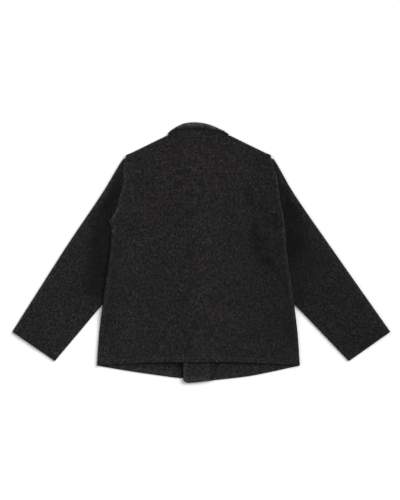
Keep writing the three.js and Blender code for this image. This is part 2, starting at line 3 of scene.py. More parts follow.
import bpy
import numpy as np
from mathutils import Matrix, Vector


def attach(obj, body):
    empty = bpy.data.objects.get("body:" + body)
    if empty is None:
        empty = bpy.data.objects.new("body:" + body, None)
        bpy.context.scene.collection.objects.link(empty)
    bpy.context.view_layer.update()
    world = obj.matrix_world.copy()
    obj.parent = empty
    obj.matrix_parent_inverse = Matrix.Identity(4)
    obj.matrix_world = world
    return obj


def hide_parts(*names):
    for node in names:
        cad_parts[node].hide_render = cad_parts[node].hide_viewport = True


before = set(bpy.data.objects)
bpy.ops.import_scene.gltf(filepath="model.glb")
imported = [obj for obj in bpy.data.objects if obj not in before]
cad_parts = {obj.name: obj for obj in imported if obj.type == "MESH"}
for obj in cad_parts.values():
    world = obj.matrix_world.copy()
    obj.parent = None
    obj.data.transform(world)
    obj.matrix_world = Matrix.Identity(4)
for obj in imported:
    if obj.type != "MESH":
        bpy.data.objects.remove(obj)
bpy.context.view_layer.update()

# Lengths are in millimetres, from the centre back line, until a mesh is made. +y is towards the collar.
body = {
    "rightSettling": [
        (80, -0.5), (92, -1.5), (110, -0.5), (128, 0.5), (158, 3.4),
        (192, 6.4), (222, 7.4), (252, 4), (268, 1), (283, 0),
    ],
    "leftSettling": [
        (80, 0), (88, 6.5), (93, 7.5), (102, 4.5), (115, -0.5), (128, -3.2),
        (165, -3.6), (198, -6.4), (225, -4.2), (248, -2), (262, 0), (283, 0),
    ],
    "centreBack": -8.7,
    "hemY": -339.0,
    "underarmY": 80.0,
    "shoulder": (217.0, 291.0),
    "neck": (94.5, 351.0),
    "side": [(-339, 303.8), (-232, 296), (-85, 276.5), (20, 262), (80, 260.2)],
    "armhole": [(80, 260.2), (98, 259.6), (122, 253.5), (170, 240), (218, 231), (262, 226), (291, 217)],
    "backHem": (-328.0, 11.0, 2.4),
    "frontNeckY": 262.0,
    "foldRadius": 2.9,
    "halfCloth": 1.1,
    "gap": 0.3,
    "sleeveLift": 6.3,
    "hemTurn": 27.0,
    "hemBulk": 1.6,
}


# Small helpers on arrays
def smooth(low, high, value):
    # 3t^2 - 2t^3 of the share t of the way from low to high
    t = np.clip((np.asarray(value, float) - low) / (high - low), 0, 1)
    return t * t * (3 - 2 * t)


def mix(a, b, t):
    return a + (b - a) * t


def bell(away, width, away2=0, width2=1):
    # 1 on a line or at a place, falling off softly away from it
    return np.exp(-((away / width) ** 2) - (away2 / width2) ** 2)


def curve(rows):
    # Cubic through the rows (place, value), with the slope of the neighbouring rows at each
    rows = np.array(sorted(rows), float)
    place, value = rows[:, 0], rows[:, 1]
    ahead, behind = np.roll(rows, -1, axis=0), np.roll(rows, 1, axis=0)
    ahead[-1], behind[0] = rows[-1], rows[0]
    slope = (ahead[:, 1] - behind[:, 1]) / (ahead[:, 0] - behind[:, 0])

    def read(at):
        at = np.clip(np.asarray(at, float), place[0], place[-1])
        i = np.clip(np.searchsorted(place, at, side="right") - 1, 0, len(place) - 2)
        span = place[i + 1] - place[i]
        t = (at - place[i]) / span
        return (
            value[i] * (2 * t**3 - 3 * t**2 + 1)
            + slope[i] * span * (t**3 - 2 * t**2 + t)
            + value[i + 1] * (3 * t**2 - 2 * t**3)
            + slope[i + 1] * span * (t**3 - t**2)
        )

    return read


def unit(v):
    return v / np.maximum(np.linalg.norm(v, axis=-1, keepdims=True), 1e-12)


def spacing(start, end, step):
    return np.linspace(start, end, max(2, int(round(abs(end - start) / step)) + 1))


def waves(x, y, seed, lengths, count=9):
    # Sum of seeded sine waves that cross the cloth in every direction, between about -1 and 1
    draw = np.random.default_rng(seed)
    total = 0
    for way, length, phase in zip(
        draw.uniform(0, np.pi, count), draw.uniform(*lengths, count), draw.uniform(0, 2 * np.pi, count)
    ):
        total = total + np.sin((x * np.cos(way) + y * np.sin(way)) * 2 * np.pi / length + phase)
    return total / np.sqrt(count / 2) / 1.7


def creases(x, y, rows):
    # Each row is a soft line through three places, with its width and height:
    # a bell across it, faded at both ends
    total = np.zeros(np.broadcast(x, y).shape)
    for start, middle, end, width, height in rows:
        along = np.linspace(0, 1, 13)
        knots = np.array([start, middle, end], float)
        bend = knots[1] * 2 - (knots[0] + knots[2]) / 2
        line = [
            (1 - along) ** 2 * knots[0][k] + 2 * along * (1 - along) * bend[k] + along**2 * knots[2][k]
            for k in (0, 1)
        ]
        nearest = np.full(total.shape, 1e9)
        share = np.zeros(total.shape)
        for i in range(12):
            run = (line[0][i + 1] - line[0][i], line[1][i + 1] - line[1][i])
            t = ((x - line[0][i]) * run[0] + (y - line[1][i]) * run[1]) / (run[0] ** 2 + run[1] ** 2)
            t = np.clip(t, 0, 1)
            away = np.hypot(x - line[0][i] - run[0] * t, y - line[1][i] - run[1] * t)
            share = np.where(away < nearest, (i + t) / 12, share)
            nearest = np.minimum(away, nearest)
        fade = smooth(0, 0.32, share) * (1 - smooth(0.68, 1, share))
        total += height * fade * bell(nearest, width)
    return total


# Outline curves of the body
sideHalf = curve(body["side"])
armholeHalf = curve(body["armhole"])


def bodyHalf(y):
    return np.where(y < body["underarmY"], sideHalf(y), armholeHalf(y))


def backHemY(x):
    level, drop, power = body["backHem"]
    return level - drop * np.abs(x / body["side"][0][1]) ** power


def shoulderY(x):
    t = (np.abs(x) - body["neck"][0]) / (body["shoulder"][0] - body["neck"][0])
    return mix(body["neck"][1], body["shoulder"][1], t)


def frontNeckY(x):
    return body["frontNeckY"] + (body["neck"][1] - body["frontNeckY"]) * np.abs(x / body["neck"][0]) ** 3


def fromSide(x, y):
    # Distance from the side fold, or from its upper end, and the direction away from it
    across = sideHalf(y) - np.abs(x)
    above = np.maximum(y - body["underarmY"], 0)
    d = np.where(above > 0, np.hypot(across, above), np.maximum(across, 0))
    reach = np.maximum(np.where(above > 0, d, np.abs(across)), 1e-9)
    inward = np.where(above > 0, across / reach, 1.0)
    return d, -np.sign(x) * inward, above / reach


def fromShoulder(x, y):
    (neckX, neckY), (tipX, tipY) = body["neck"], body["shoulder"]
    run = np.array([tipX - neckX, tipY - neckY])
    length = np.hypot(*run)
    px, py = np.abs(x) - neckX, y - neckY
    t = np.clip((px * run[0] + py * run[1]) / length**2, 0, 1)
    gx, gy = px - run[0] * t, py - run[1] * t
    d = np.hypot(gx, gy)
    far = d > 0.01
    ux = np.where(far, gx / np.maximum(d, 1e-9), run[1] / length)
    uy = np.where(far, gy / np.maximum(d, 1e-9), -run[0] / length)
    return d, ux * np.where(x < 0, -1, 1), uy


# The armhole edges have slid a little, out (+) or in (-), each side by its own curve of the height
leftSettling, rightSettling = curve(body["leftSettling"]), curve(body["rightSettling"])


def settled(points, share=1.0):
    x, y = points[..., 0], points[..., 1]
    near = smooth(64, 6, np.abs(armholeHalf(y) - np.abs(x))) * smooth(79, 83, y) * share
    moved = np.array(points)
    moved[..., 0] += np.sign(x) * np.where(x < 0, leftSettling(y), rightSettling(y)) * near
    return moved


def turned(d, radius):
    # Quarter circle: how far the cloth has turned down at a distance from the fold, and its slope
    inside = d < radius
    up = np.sqrt(np.maximum(radius**2 - (radius - d) ** 2, 1e-6))
    return np.where(inside, radius - up, 0), np.where(inside, (radius - d) / up, 0)


def overSleeve(x, y):
    rows = smooth(80, 38, y) * smooth(-240, -160, y)
    return body["sleeveLift"] * rows * (1 - smooth(30, 100, bodyHalf(y) - np.abs(x)))


def overButtons(x, y):
    return 2.9 * smooth(-332, -243, y) * (1 - smooth(13, 34, np.abs(x)))


def bodySheet(x, y, level, turn):
    # Middle of the cloth and its normal: a level, with the folded edges turned down (-1) or up (1)
    step = 0.5
    z = level(x, y)
    slopeX = (level(x + step, y) - level(x - step, y)) / (2 * step)
    slopeY = (level(x, y + step) - level(x, y - step)) / (2 * step)
    for d, awayX, awayY in (fromSide(x, y), fromShoulder(x, y)):
        drop, slope = turned(d, body["foldRadius"])
        z = z + turn * drop
        slopeX = slopeX - turn * slope * awayX
        slopeY = slopeY - turn * slope * awayY
    return np.stack([x, y, z], -1), unit(np.stack([-slopeX, -slopeY, np.ones_like(z)], -1))


def turnedHem(fromHem):
    # Thickness that the turned-up hem adds inside, at a distance from its edge
    return body["hemBulk"] * (1 - smooth(body["hemTurn"] - 1.5, body["hemTurn"] + 1.5, fromHem))


def rounded(d, radius):
    # Share of the full thickness at a distance from a free edge: a quarter circle
    return np.sqrt(np.clip(1 - (1 - np.clip(d / radius, 0, 1)) ** 2, 0.004, 1))


# Meshes
def ringFaces(index, flip=False):
    quads = np.stack([index[:-1, :-1], index[:-1, 1:], index[1:, 1:], index[1:, :-1]], -1).reshape(-1, 4)
    return quads[:, ::-1] if flip else quads


def makeMesh(name, points, quads, material, attributes=()):
    # points in garment millimetres become metres in the frame
    points = np.asarray(points, float).reshape(-1, 3)
    used, compact = np.unique(quads, return_inverse=True)
    quads = compact.reshape(-1, 4)
    points = points[used]
    a, b, c, d = (points[quads[:, k]] for k in range(4))
    volume = np.einsum("ij,ij->i", a, np.cross(b, c) + np.cross(c, d)).sum()
    if volume < 0:
        quads = quads[:, ::-1]
    place = (points + [body["centreBack"], 0, 0]) / 1000
    mesh = bpy.data.meshes.new(name)
    mesh.vertices.add(len(place))
    mesh.vertices.foreach_set("co", place.astype(np.float32).ravel())
    mesh.loops.add(quads.size)
    mesh.loops.foreach_set("vertex_index", quads.astype(np.int32).ravel())
    mesh.polygons.add(len(quads))
    mesh.polygons.foreach_set("loop_start", np.arange(0, quads.size, 4, dtype=np.int32))
    mesh.update(calc_edges=True)
    mesh.validate()
    mesh.polygons.foreach_set("use_smooth", np.ones(len(mesh.polygons), bool))
    for label, values in dict(attributes).items():
        values = np.asarray(values, np.float32)
        kind = "FLOAT_VECTOR" if values.ndim > 1 and values.shape[-1] == 3 else "FLOAT"
        values = values.reshape(-1, 3)[used] if kind == "FLOAT_VECTOR" else values.reshape(-1)[used]
        field = mesh.attributes.new(label, kind, "POINT")
        field.data.foreach_set("vector" if kind == "FLOAT_VECTOR" else "value", values.ravel())
    mesh.materials.append(material)
    piece = bpy.data.objects.new(name, mesh)
    bpy.context.scene.collection.objects.link(piece)
    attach(piece, "root")
    print(name, len(quads) * 2, "triangles")
    return piece


def clothShell(name, middle, normal, above, below, material, marks, openRows=None):
    # Two layers of points on both sides of the middle, joined along every open edge.
    # From openRows on, the first and the last column are the same points
    rows, columns = middle.shape[:2]
    count = rows * columns
    points = np.stack([middle + normal * above[..., None], middle - normal * below[..., None]])
    index = np.arange(2 * count).reshape(2, rows, columns)
    if openRows is not None:
        index[:, openRows:, -1] = index[:, openRows:, 0]
    quads = [ringFaces(index[0]), ringFaces(index[1], True)]
    for edge, flip in ((index[:, 0, :], True), (index[:, -1, :], False)):
        quads.append(ringFaces(edge, not flip))
    last = rows if openRows is None else openRows + 1
    quads.append(ringFaces(index[:, :last, 0]))
    quads.append(ringFaces(index[:, :last, -1], True))
    both = {label: np.stack([value, value]) for label, value in marks.items()}
    grain = both["grain"]
    depth = np.stack([above, -below]) / 1000
    both["grain"] = np.concatenate([grain[..., :2], (grain[..., 2] + depth)[..., None]], -1)
    return makeMesh(name, points, np.concatenate(quads), material, both)


def seamStrip(name, middle, grain, toEdge, settings):
    # A flat strip of turned-in seam allowance, which closes a seam from inside
    upward = np.zeros_like(middle)
    upward[..., 2] = 1
    half = settings["thickness"] / 2 * rounded(toEdge, settings["rim"])
    # The strip's colour carries a painted shade of the strength in settings
    marks = {"grain": grain / 1000, "paintedHighlight": 0 * half, "paintedShade": 0 * half + settings["paintedShade"]}
    strip = clothShell(name, middle, upward, half, half, wool, marks)
    return strip


def readAlong(at, length, values):
    # The values of a path, at these distances along it
    return np.stack([np.interp(at, length, values[:, k]) for k in range(3)], -1)


def threads(name, rows, material, settings):
    # Every stitch is a thin six-sided thread that dips into the cloth at both ends
    sides = 6
    along = np.array([-1, -0.86, -0.45, 0, 0.45, 0.86, 1.0])
    thick = np.sqrt(np.maximum(1 - np.abs(along) ** 3, 0.03))
    turns = np.arange(sides) * 2 * np.pi / sides
    ring = np.arange(len(along) * sides).reshape(len(along), sides)
    wrap = np.concatenate([ring, ring[:, :1]], 1)
    last = (len(along) - 1) * sides
    frontEnd = [[0, 1, 2, 3], [0, 3, 4, 5]]
    backEnd = [[last + 2, last + 1, last, last + 3], [last + 4, last + 3, last, last + 5]]
    template = np.concatenate([ringFaces(wrap), frontEnd, backEnd])
    allPoints, allQuads = [], []
    for path, normals in rows:
        step = np.linalg.norm(np.diff(path, axis=0), axis=1)
        length = np.concatenate([[0], np.cumsum(step)])
        count = max(1, int(length[-1] / settings["pitch"]))
        centre = (np.arange(count) + 0.5) * length[-1] / count
        at, up = readAlong(centre, length, path), unit(readAlong(centre, length, normals))
        way = unit(readAlong(centre + 0.5, length, path) - readAlong(centre - 0.5, length, path))
        cross = unit(np.cross(up, way))
        half, radius = settings["length"] / 2, settings["radius"]
        lift = settings["stand"] - settings["dip"] * along**2
        height = lift[:, None] + thick[:, None] * np.sin(turns) * radius * settings["flatness"]
        grid = (
            at[:, None, None]
            + way[:, None, None] * (along * half)[None, :, None, None]
            + cross[:, None, None] * (thick[:, None] * np.cos(turns) * radius)[None, ..., None]
            + up[:, None, None] * height[None, ..., None]
        )
        first = sum(len(p) for p in allPoints)
        allPoints.append(grid.reshape(-1, 3))
        starts = first + np.arange(count)[:, None, None] * len(along) * sides
        allQuads.append((starts + template).reshape(-1, 4))
    points = np.concatenate(allPoints)
    return makeMesh(name, points, np.concatenate(allQuads), material, {"grain": points / 1000})


# Materials
class Shade:
    # An output of the material's tree, with arithmetic

    def __init__(self, tree, socket):
        self.tree, self.socket = tree, socket

    def node(self, kind, sockets=(), settings=(), output=0):
        made = self.tree.nodes.new(kind)
        for key, value in dict(settings).items():
            setattr(made, key, value)
        for key, value in dict(sockets).items():
            if isinstance(value, Shade):
                self.tree.links.new(value.socket, made.inputs[key])
            else:
                made.inputs[key].default_value = value
        return Shade(self.tree, made.outputs[output])

    def sum(self, operation, *values):
        return self.node("ShaderNodeMath", enumerate(values), {"operation": operation})

    def __add__(self, other):
        return self.sum("ADD", self, other)

    def __radd__(self, other):
        return self.sum("ADD", other, self)

    def __sub__(self, other):
        return self.sum("SUBTRACT", self, other)

    def __mul__(self, other):
        return self.sum("MULTIPLY", self, other)

    def between(self, low, high):
        # Smooth step from 0 to 1
        return self.node(
            "ShaderNodeMapRange",
            {"Value": self, "From Min": low, "From Max": high},
            {"interpolation_type": "SMOOTHSTEP"},
        )

    def noise(self, scale, detail=2.0, roughness=0.5):
        return self.node(
            "ShaderNodeTexNoise", {"Vector": self, "Scale": scale, "Detail": detail, "Roughness": roughness}
        )

    def stretched(self, x, y, z=1.0):
        return self.node("ShaderNodeVectorMath", {0: self, 1: (x, y, z)}, {"operation": "MULTIPLY"})

    def blend(self, low, high):
        # Colour mix, with this as the factor
        mixed = self.tree.nodes.new("ShaderNodeMix")
        mixed.data_type = "RGBA"
        for slot, value in ((0, self), (6, low), (7, high)):
            if isinstance(value, Shade):
                self.tree.links.new(value.socket, mixed.inputs[slot])
            else:
                mixed.inputs[slot].default_value = value if slot == 0 else (*value, 1.0)
        return Shade(self.tree, mixed.outputs[2])

    def times(self, factor):
        # Colour times a number
        return self.node("ShaderNodeVectorMath", {0: self, "Scale": factor}, {"operation": "SCALE"})


def newMaterial(name):
    material = bpy.data.materials.new(name)
    material.use_nodes = True
    tree = material.node_tree
    shader = tree.nodes["Principled BSDF"]
    start = Shade(tree, shader.outputs[0])
    return material, shader, start


def plug(shader, links, constants):
    for key, value in links.items():
        value.tree.links.new(value.socket, shader.inputs[key])
    for key, value in constants.items():
        shader.inputs[key].default_value = value


def woolMaterial(name, look):
    # Napped wool: dark yarns, paler hairs between them, a few bright flecks and a soft cloud over large areas
    material, shader, start = newMaterial(name)
    grain = start.node("ShaderNodeAttribute", settings={"attribute_name": "grain"}, output="Vector")
    paintedHighlight = start.node("ShaderNodeAttribute", settings={"attribute_name": "paintedHighlight"}, output="Fac")
    shadow = start.node("ShaderNodeAttribute", settings={"attribute_name": "paintedShade"}, output="Fac")
    hair = grain.noise(look["hairScale"], 2.0, 0.6)
    tuft = grain.noise(look["tuftScale"], 2.0, 0.55)
    slub = grain.stretched(1.0, 0.8).noise(look["slubScale"], 2.0, 0.55)
    cloud = grain.noise(look["cloudScale"], 3.0, 0.55)
    fibre = grain.stretched(1.0, 0.42).noise(look["fleckScale"], 1.0, 0.4)
    cross = grain.stretched(0.5, 1.0).noise(look["fleckScale"] * 0.83, 1.0, 0.4)
    speckle = (hair * 0.25 + tuft * 0.37 + slub * 0.38).between(0.38, 0.62)
    base = speckle.blend(look["dark"], look["pale"])
    flecks = fibre.between(*look["fleckRange"]) + cross.between(*look["fleckRange"])
    clumped = slub.between(0.3, 0.62) * 0.8 + 0.2
    base = (flecks * clumped * look["fleckShare"]).blend(base, look["fleck"])
    # The colour is lightened by a painted highlight on edges, ridges and corners, and darkened by a painted
    # shade in hollows, grooves and beside raised parts
    level = (cloud - 0.5) * look["cloud"] + 1.0 + paintedHighlight * look["paintedHighlight"] - shadow * look["paintedShade"]
    base = base.times(level)
    split = start.node("ShaderNodeSeparateXYZ", {0: grain})
    acrossCloth, alongCloth = split, Shade(split.tree, split.socket.node.outputs[1])
    twill = start.sum("SINE", (acrossCloth + alongCloth * 0.8) * (2 * math.pi / look["twillStep"]))
    relief = hair * 0.5 + tuft * 0.9 + flecks * 0.25 + twill * look["twill"]
    bump = start.node(
        "ShaderNodeBump",
        {"Height": relief, "Strength": look["bumpStrength"], "Distance": look["bumpDistance"]},
    )
    rough = 0.86 + speckle * 0.12
    plug(
        shader,
        {"Base Color": base, "Normal": bump, "Roughness": rough},
        {
            "Specular IOR Level": 0.12,
            "Sheen Weight": look["sheen"],
            "Sheen Roughness": 0.45,
            "Sheen Tint": (0.82, 0.79, 0.78, 1.0),
        },
    )
    return material


woolLook = {
    "dark": (0.0022, 0.0020, 0.0021),
    "pale": (0.0128, 0.0115, 0.0119),
    "fleck": (0.085, 0.079, 0.077),
    "fleckShare": 0.8,
    "fleckRange": (0.64, 0.72),
    "hairScale": 1000.0,
    "tuftScale": 380.0,
    "slubScale": 135.0,
    "fleckScale": 900.0,
    "cloudScale": 13.0,
    "cloud": 0.5,
    # Strengths of the painted highlight and of the painted shade
    "paintedHighlight": 0.6,
    "paintedShade": 0.36,
    "twill": 0.12,
    "twillStep": 0.0017,
    "bumpStrength": 0.6,
    "bumpDistance": 0.0007,
    "sheen": 0.06,
}
wool = woolMaterial("jacket_wool", woolLook)
facingWool = woolMaterial("facing_wool", {**woolLook, "pale": (0.0150, 0.0136, 0.0140), "cloud": 0.35})
# A paler copy of the wool: a painted highlight on the collar's roll
collarPaintedHighlightWool = woolMaterial(
    "collar_wool_painted_highlight",
    {**woolLook, "dark": (0.004, 0.0038, 0.0036), "pale": (0.0200, 0.0188, 0.0180), "paintedHighlight": 1.55},
)


def threadMaterial(name, colour):
    # Sewing thread: light and dark fuzz along it
    material, shader, start = newMaterial(name)
    place = start.node("ShaderNodeTexCoord", output="Object")
    fuzz = place.noise(2600.0, 2.0, 0.6)
    tone = fuzz.between(0.3, 0.7).blend(tuple(c * 0.6 for c in colour), tuple(c * 1.3 for c in colour))
    bump = start.node("ShaderNodeBump", {"Height": fuzz, "Strength": 0.5, "Distance": 0.0002})
    plug(shader, {"Base Color": tone, "Normal": bump, "Roughness": 0.6 + fuzz * 0.2}, {"Sheen Weight": 0.15})
    return material


darkThread = threadMaterial("seam_thread", (0.0170, 0.0155, 0.0151))
markThread = threadMaterial("mark_thread", (0.16, 0.05, 0.035))
print("materials made")

# The back
back = {
    "step": (3.35, 3.2),
    "edgeSteps": [0, 0.15, 0.4, 0.8, 1.35, 2.1, 2.9, 4.0, 5.4, 7.0, 8.4, 9.5, 10.5, 11.5, 12.5, 14.0, 16.5],
    "level": 5.4,
    "neckLevel": 6.0,
    "placketLift": 3.2,
    "seamRidge": 1.2,
    "stitchIn": (2.4, 11.2),
    "hemStitch": 13.0,
    "undulation": 0.32,
    "pull": 0.32,
    "pucker": (0.13, 9.3),
    "hemPull": 0.4,
    "hemPucker": (0.14, 10.7),
    "folds": [
        ((146, 226), (152, 150), (172, 60), 22, -1.2),
        ((170, 112), (166, 30), (196, -24), 16, -1.3),
        ((186, -8), (220, -46), (264, -68), 16, -1.1),
        ((221, 130), (233, 90), (234, 44), 14, -1.1),
        ((198, 104), (204, 40), (222, -8), 18, 1.3),
        ((228, -150), (246, -220), (250, -300), 28, -1.3),
        ((-232, 60), (-190, 40), (-150, 10), 34, 1.5),
        ((-190, -40), (-212, -150), (-225, -260), 36, 1.2),
    ],
    # Painted shade along the deepest fold troughs, each row as in creases()
    "paintedFoldShade": [
        ((146, 230), (150, 175), (148, 120), 15, 0.5),
        ((171, 116), (166, 40), (193, -16), 11, 0.75),
        ((184, -4), (216, -46), (266, -70), 11, 0.65),
        ((221, 126), (231, 90), (234, 44), 10, 0.6),
        ((205, 0), (222, -30), (238, -48), 9, 0.5),
        ((166, 118), (195, 130), (224, 122), 11, 0.35),
        ((258, -205), (266, -240), (262, -285), 17, 0.5),
        ((150, -215), (165, -235), (180, -255), 24, 0.3),
        ((-240, 78), (-206, 62), (-164, 68), 17, 0.35),
        ((-222, 96), (-196, 70), (-214, 36), 14, 0.2),
    ],
    "creases": [
        ((150, 182), (163, 96), (182, -24), 10, -0.5),
        ((164, 170), (180, 90), (196, 6), 9, 0.4),
        ((192, -4), (226, -52), (258, -108), 11, -0.7),
        ((206, 6), (236, -36), (262, -84), 9, 0.5),
        ((246, -190), (262, -246), (281, -296), 10, -0.6),
        ((222, -176), (236, -236), (246, -290), 12, 0.5),
        ((-258, 18), (-226, 2), (-190, -24), 10, 0.6),
        ((-252, 2), (-222, -16), (-184, -44), 9, -0.55),
        ((-244, -90), (-228, -160), (-232, -232), 12, -0.55),
        ((-60, 330), (-66, 290), (-84, 244), 14, -0.5),
        ((58, 326), (70, 286), (92, 236), 14, -0.45),
        ((-30, 60), (-22, -40), (-34, -150), 22, 0.5),
        ((52, 20), (44, -80), (54, -180), 22, -0.5),
        ((-214, 236), (-196, 190), (-190, 130), 15, -0.6),
        ((206, 244), (192, 200), (186, 150), 13, -0.6),
    ],
}


def backLevel(x, y):
    nearest = np.minimum(fromSide(x, y)[0], fromShoulder(x, y)[0])
    edge = body["halfCloth"] + 2 * body["foldRadius"] + body["gap"]
    neck = smooth(225, 300, y) * (1 - smooth(60, 130, np.abs(x)))
    level = mix(edge, mix(back["level"], back["neckLevel"], neck), smooth(12, 105, nearest))
    placket = back["placketLift"] * (1 - smooth(43, 84, np.abs(x + 5))) + 3 * (1 - smooth(15, 44, np.abs(x)))
    hem = body["hemBulk"] * (1 - smooth(30, 70, y - backHemY(x))) * smooth(14, 70, nearest)
    calm = smooth(4, 40, nearest)
    soft = creases(x, y, back["folds"]) + creases(x, y, back["creases"]) * calm
    return level + overSleeve(x, y) + placket * (1 - smooth(262, 330, y)) + hem + soft


def seamInward(x, y):
    return bodyHalf(np.clip(y, body["hemY"], body["shoulder"][1])) - np.abs(x)


def stitchedRidge(inward, y, settings):
    # A seam stands up from its edge to its outer row of stitches. Both rows pull it down, in short puckers
    ridge = settings["seamRidge"] * (1 - smooth(9.3, 12.3, inward))
    pull = sum(settings["pull"] * bell(inward - place, 0.9) for place in settings["stitchIn"])
    height, pitch = settings["pucker"]
    wave = np.sin(y * 2 * np.pi / pitch + 1.5 * np.sin(y / 37))
    pucker = height * wave * smooth(0, 4, inward) * (1 - smooth(11, 17, inward))
    return ridge - pull + pucker


def backThickness(x, y):
    inward = seamInward(x, y)
    atFold = mix(smooth(0.4, 2.8, inward), 1, smooth(80, 84, y))
    fromHem = y - backHemY(x)
    hemPull = back["hemPull"] * bell(fromHem - back["hemStitch"], 1.1) * smooth(10, 16, inward)
    height, pitch = back["hemPucker"]
    wave = np.sin(x * 2 * np.pi / pitch + np.sin(x / 31))
    hemPucker = height * wave * (1 - smooth(12, 22, fromHem)) * smooth(10, 16, inward)
    ripple = back["undulation"] * waves(x, y, 11, (38, 150)) * smooth(14, 40, inward)
    above = body["halfCloth"] + stitchedRidge(inward, y, back) * atFold - hemPull + hemPucker
    above = above + ripple * 0.5 + 0.06 * waves(x, y, 12, (7, 16), 12)
    below = body["halfCloth"] + turnedHem(fromHem) * smooth(4, 9, sideHalf(y) - np.abs(x))
    return above, below - ripple * 0.5


# Distances of the rows below a panel's upper edge, and of the columns round a fold as shares of its radius
topSteps = [0, 0.15, 0.4, 0.8, 1.4, 2.2, 3.2, 4.6, 6.2]
foldSteps = np.array([0, 0.05, 0.134, 0.28, 0.5, 0.75, 1])


def panelGrid(bottom, top, leftX, rightX, steps, edgeSteps, rowSteps, heightOf):
    # Rows run from the hem to the shoulder. In each, x runs straight from the left edge to the right one,
    # and y is mixed between the curve of the hem and the curve of the top
    v = np.concatenate(
        [
            np.array(rowSteps) / heightOf,
            spacing(rowSteps[-1] + steps[1], heightOf - topSteps[-1] - steps[1], steps[1]) / heightOf,
            1 - np.array(topSteps[::-1]) / heightOf,
        ]
    )
    ySide = mix(body["hemY"], body["shoulder"][1], v)
    left, right = leftX(ySide), rightX(ySide)
    width = right - left
    leftSteps, rightSteps = edgeSteps
    inner = spacing(0, 1, steps[0] / (width.mean() - leftSteps[-1] - rightSteps[-1]))[1:-1]
    start = np.array(leftSteps)[None] / width[:, None]
    end = 1 - np.array(rightSteps[::-1])[None] / width[:, None]
    middle = start[:, -1:] + (end[:, :1] - start[:, -1:]) * inner[None]
    u = np.concatenate([start, middle, end], 1)
    x = left[:, None] + width[:, None] * u
    low = mix(leftX(body["hemY"]), rightX(body["hemY"]), u)
    high = mix(leftX(body["shoulder"][1]), rightX(body["shoulder"][1]), u)
    y = mix(bottom(low), top(high), v[:, None])
    return x, y


collar = {
    "seam": [
        (-94.5, 351), (-82, 361.5), (-60, 369.5), (-35, 372), (-5, 372.5),
        (25, 370.5), (55, 365), (80, 357), (94.5, 351),
    ],
    "top": [
        (-94.5, 351), (-82, 366.5), (-60, 381.5), (-35, 390), (-5, 391.5),
        (25, 387), (55, 376), (80, 363), (94.5, 351),
    ],
    "thickness": 4.4,
    "left": -81.5,
    "right": 78.0,
    "foldInset": 4.4,
    "foldSpread": 3.0,
    "frontLow": 300.0,
    "endX": -8.0,
    "endGap": 7.0,
    "roll": 2.8,
    "crown": 4.0,
    "groove": 0.9,
}
collarSeam, collarTop = curve(collar["seam"]), curve(collar["top"])

x, y = panelGrid(
    backHemY,
    lambda at: np.where(np.abs(at) > body["neck"][0], shoulderY(at), collarSeam(at)),
    lambda at: -bodyHalf(at),
    bodyHalf,
    back["step"],
    (back["edgeSteps"], back["edgeSteps"]),
    [0, 0.3, 0.8, 1.6, 2.6, 4.5, 7, 9.5, 11.2, 12.2, 13, 13.8, 14.8, 17, 20, 23, 25.5, 27, 28.5],
    float(collarSeam(0) - body["backHem"][0]),
)
middle, normal = bodySheet(x, y, backLevel, -1)
middle = settled(middle)
above, below = backThickness(x, y)
freeEdge = np.minimum(y - backHemY(x), np.where(np.abs(x) < body["neck"][0], collarSeam(x) - y, 1e9))
edgeShare = rounded(freeEdge, 1.5)
inward = seamInward(x, y)
# Depth of the fold hollows, used for a painted shade in them
hollow = np.clip(-creases(x, y, back["folds"] + back["creases"]), 0, 2)
paintedFoldShade = creases(x, y, back["paintedFoldShade"])
ridgeLight = smooth(0, 2, inward) * smooth(10.5, 6.5, inward)
# Painted highlight on the seam ridges, the free edges, the hem band, the shoulder folds, the lower side
# edges, the upper sides, the hem corners and the shoulders
paintedHighlight = np.maximum.reduce(
    [
        ridgeLight * mix(0.75, 0.45, smooth(60, 20, y)),
        smooth(7, 0.5, freeEdge) * 0.7,
        smooth(17, 13, y - backHemY(x)) * 0.25,
        smooth(7, 0.5, fromShoulder(x, y)[0]) * 1.1,
        smooth(9, 0.5, inward) * smooth(-140, -170, y) * np.where(x < 0, 1.3, 0.7),
        0.3 * smooth(42, 10, inward) * smooth(60, 160, y),
        0.6 * bell(np.abs(x) - 290, 18, y + 318, 22),
        0.4 * bell(np.abs(x) - 222, 30, y - 250, 46),
    ]
)
# Painted shade beside and along the armhole stitches, in the fold hollows and troughs, in a line below the
# neck, over the right side of the back and in the groove under the collar
backMarks = {
    "grain": middle / 1000,
    "paintedHighlight": paintedHighlight,
    "paintedShade": 0.35 * bell(inward - 18, 8)
    + 0.9 * bell(inward - 11.2, 1.3)
    + 0.15 * hollow
    + paintedFoldShade
    + 0.5 * bell(y - 345.5, 2.2) * smooth(49, 45, np.abs(x + 2))
    + 0.3 * smooth(110, 235, x)
    + 0.45 * bell(x - 200, 80, y - 30, 130)
    + 1.7 * smooth(9, 1, collarSeam(x) - y) * (1 - smooth(84, 92, np.abs(x))),
}
backCloth = clothShell("back_cloth", middle, normal, above * edgeShare, below * edgeShare, wool, backMarks)
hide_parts("back")


def onBack(x, y):
    # Top surface of the back at these places, and its normal
    middle, normal = bodySheet(x, y, backLevel, -1)
    above, _ = backThickness(x, y)
    return settled(middle) + normal * above[:, None], normal


stitch = {"pitch": 3.9, "length": 3.2, "radius": 0.36, "flatness": 0.8, "stand": 0.2, "dip": 0.45}
backRows = []
for side in (-1, 1):
    for place in back["stitchIn"]:
        yLine = spacing(body["underarmY"] - 2, 284, 3)
        backRows.append(onBack(side * (armholeHalf(yLine) - place), yLine))
    yLine = spacing(-334, body["underarmY"] - 2, 3)
    backRows.append(onBack(side * (sideHalf(yLine) - back["stitchIn"][1]), yLine))
xLine = spacing(-290, 290, 3)
backRows.append(onBack(xLine, backHemY(xLine) + back["hemStitch"]))
xLine = spacing(-46, 42, 3)
backRows.append(onBack(xLine, 348 + 0 * xLine))
backThreads = threads("back_stitches", backRows, darkThread, stitch)
print("back made")

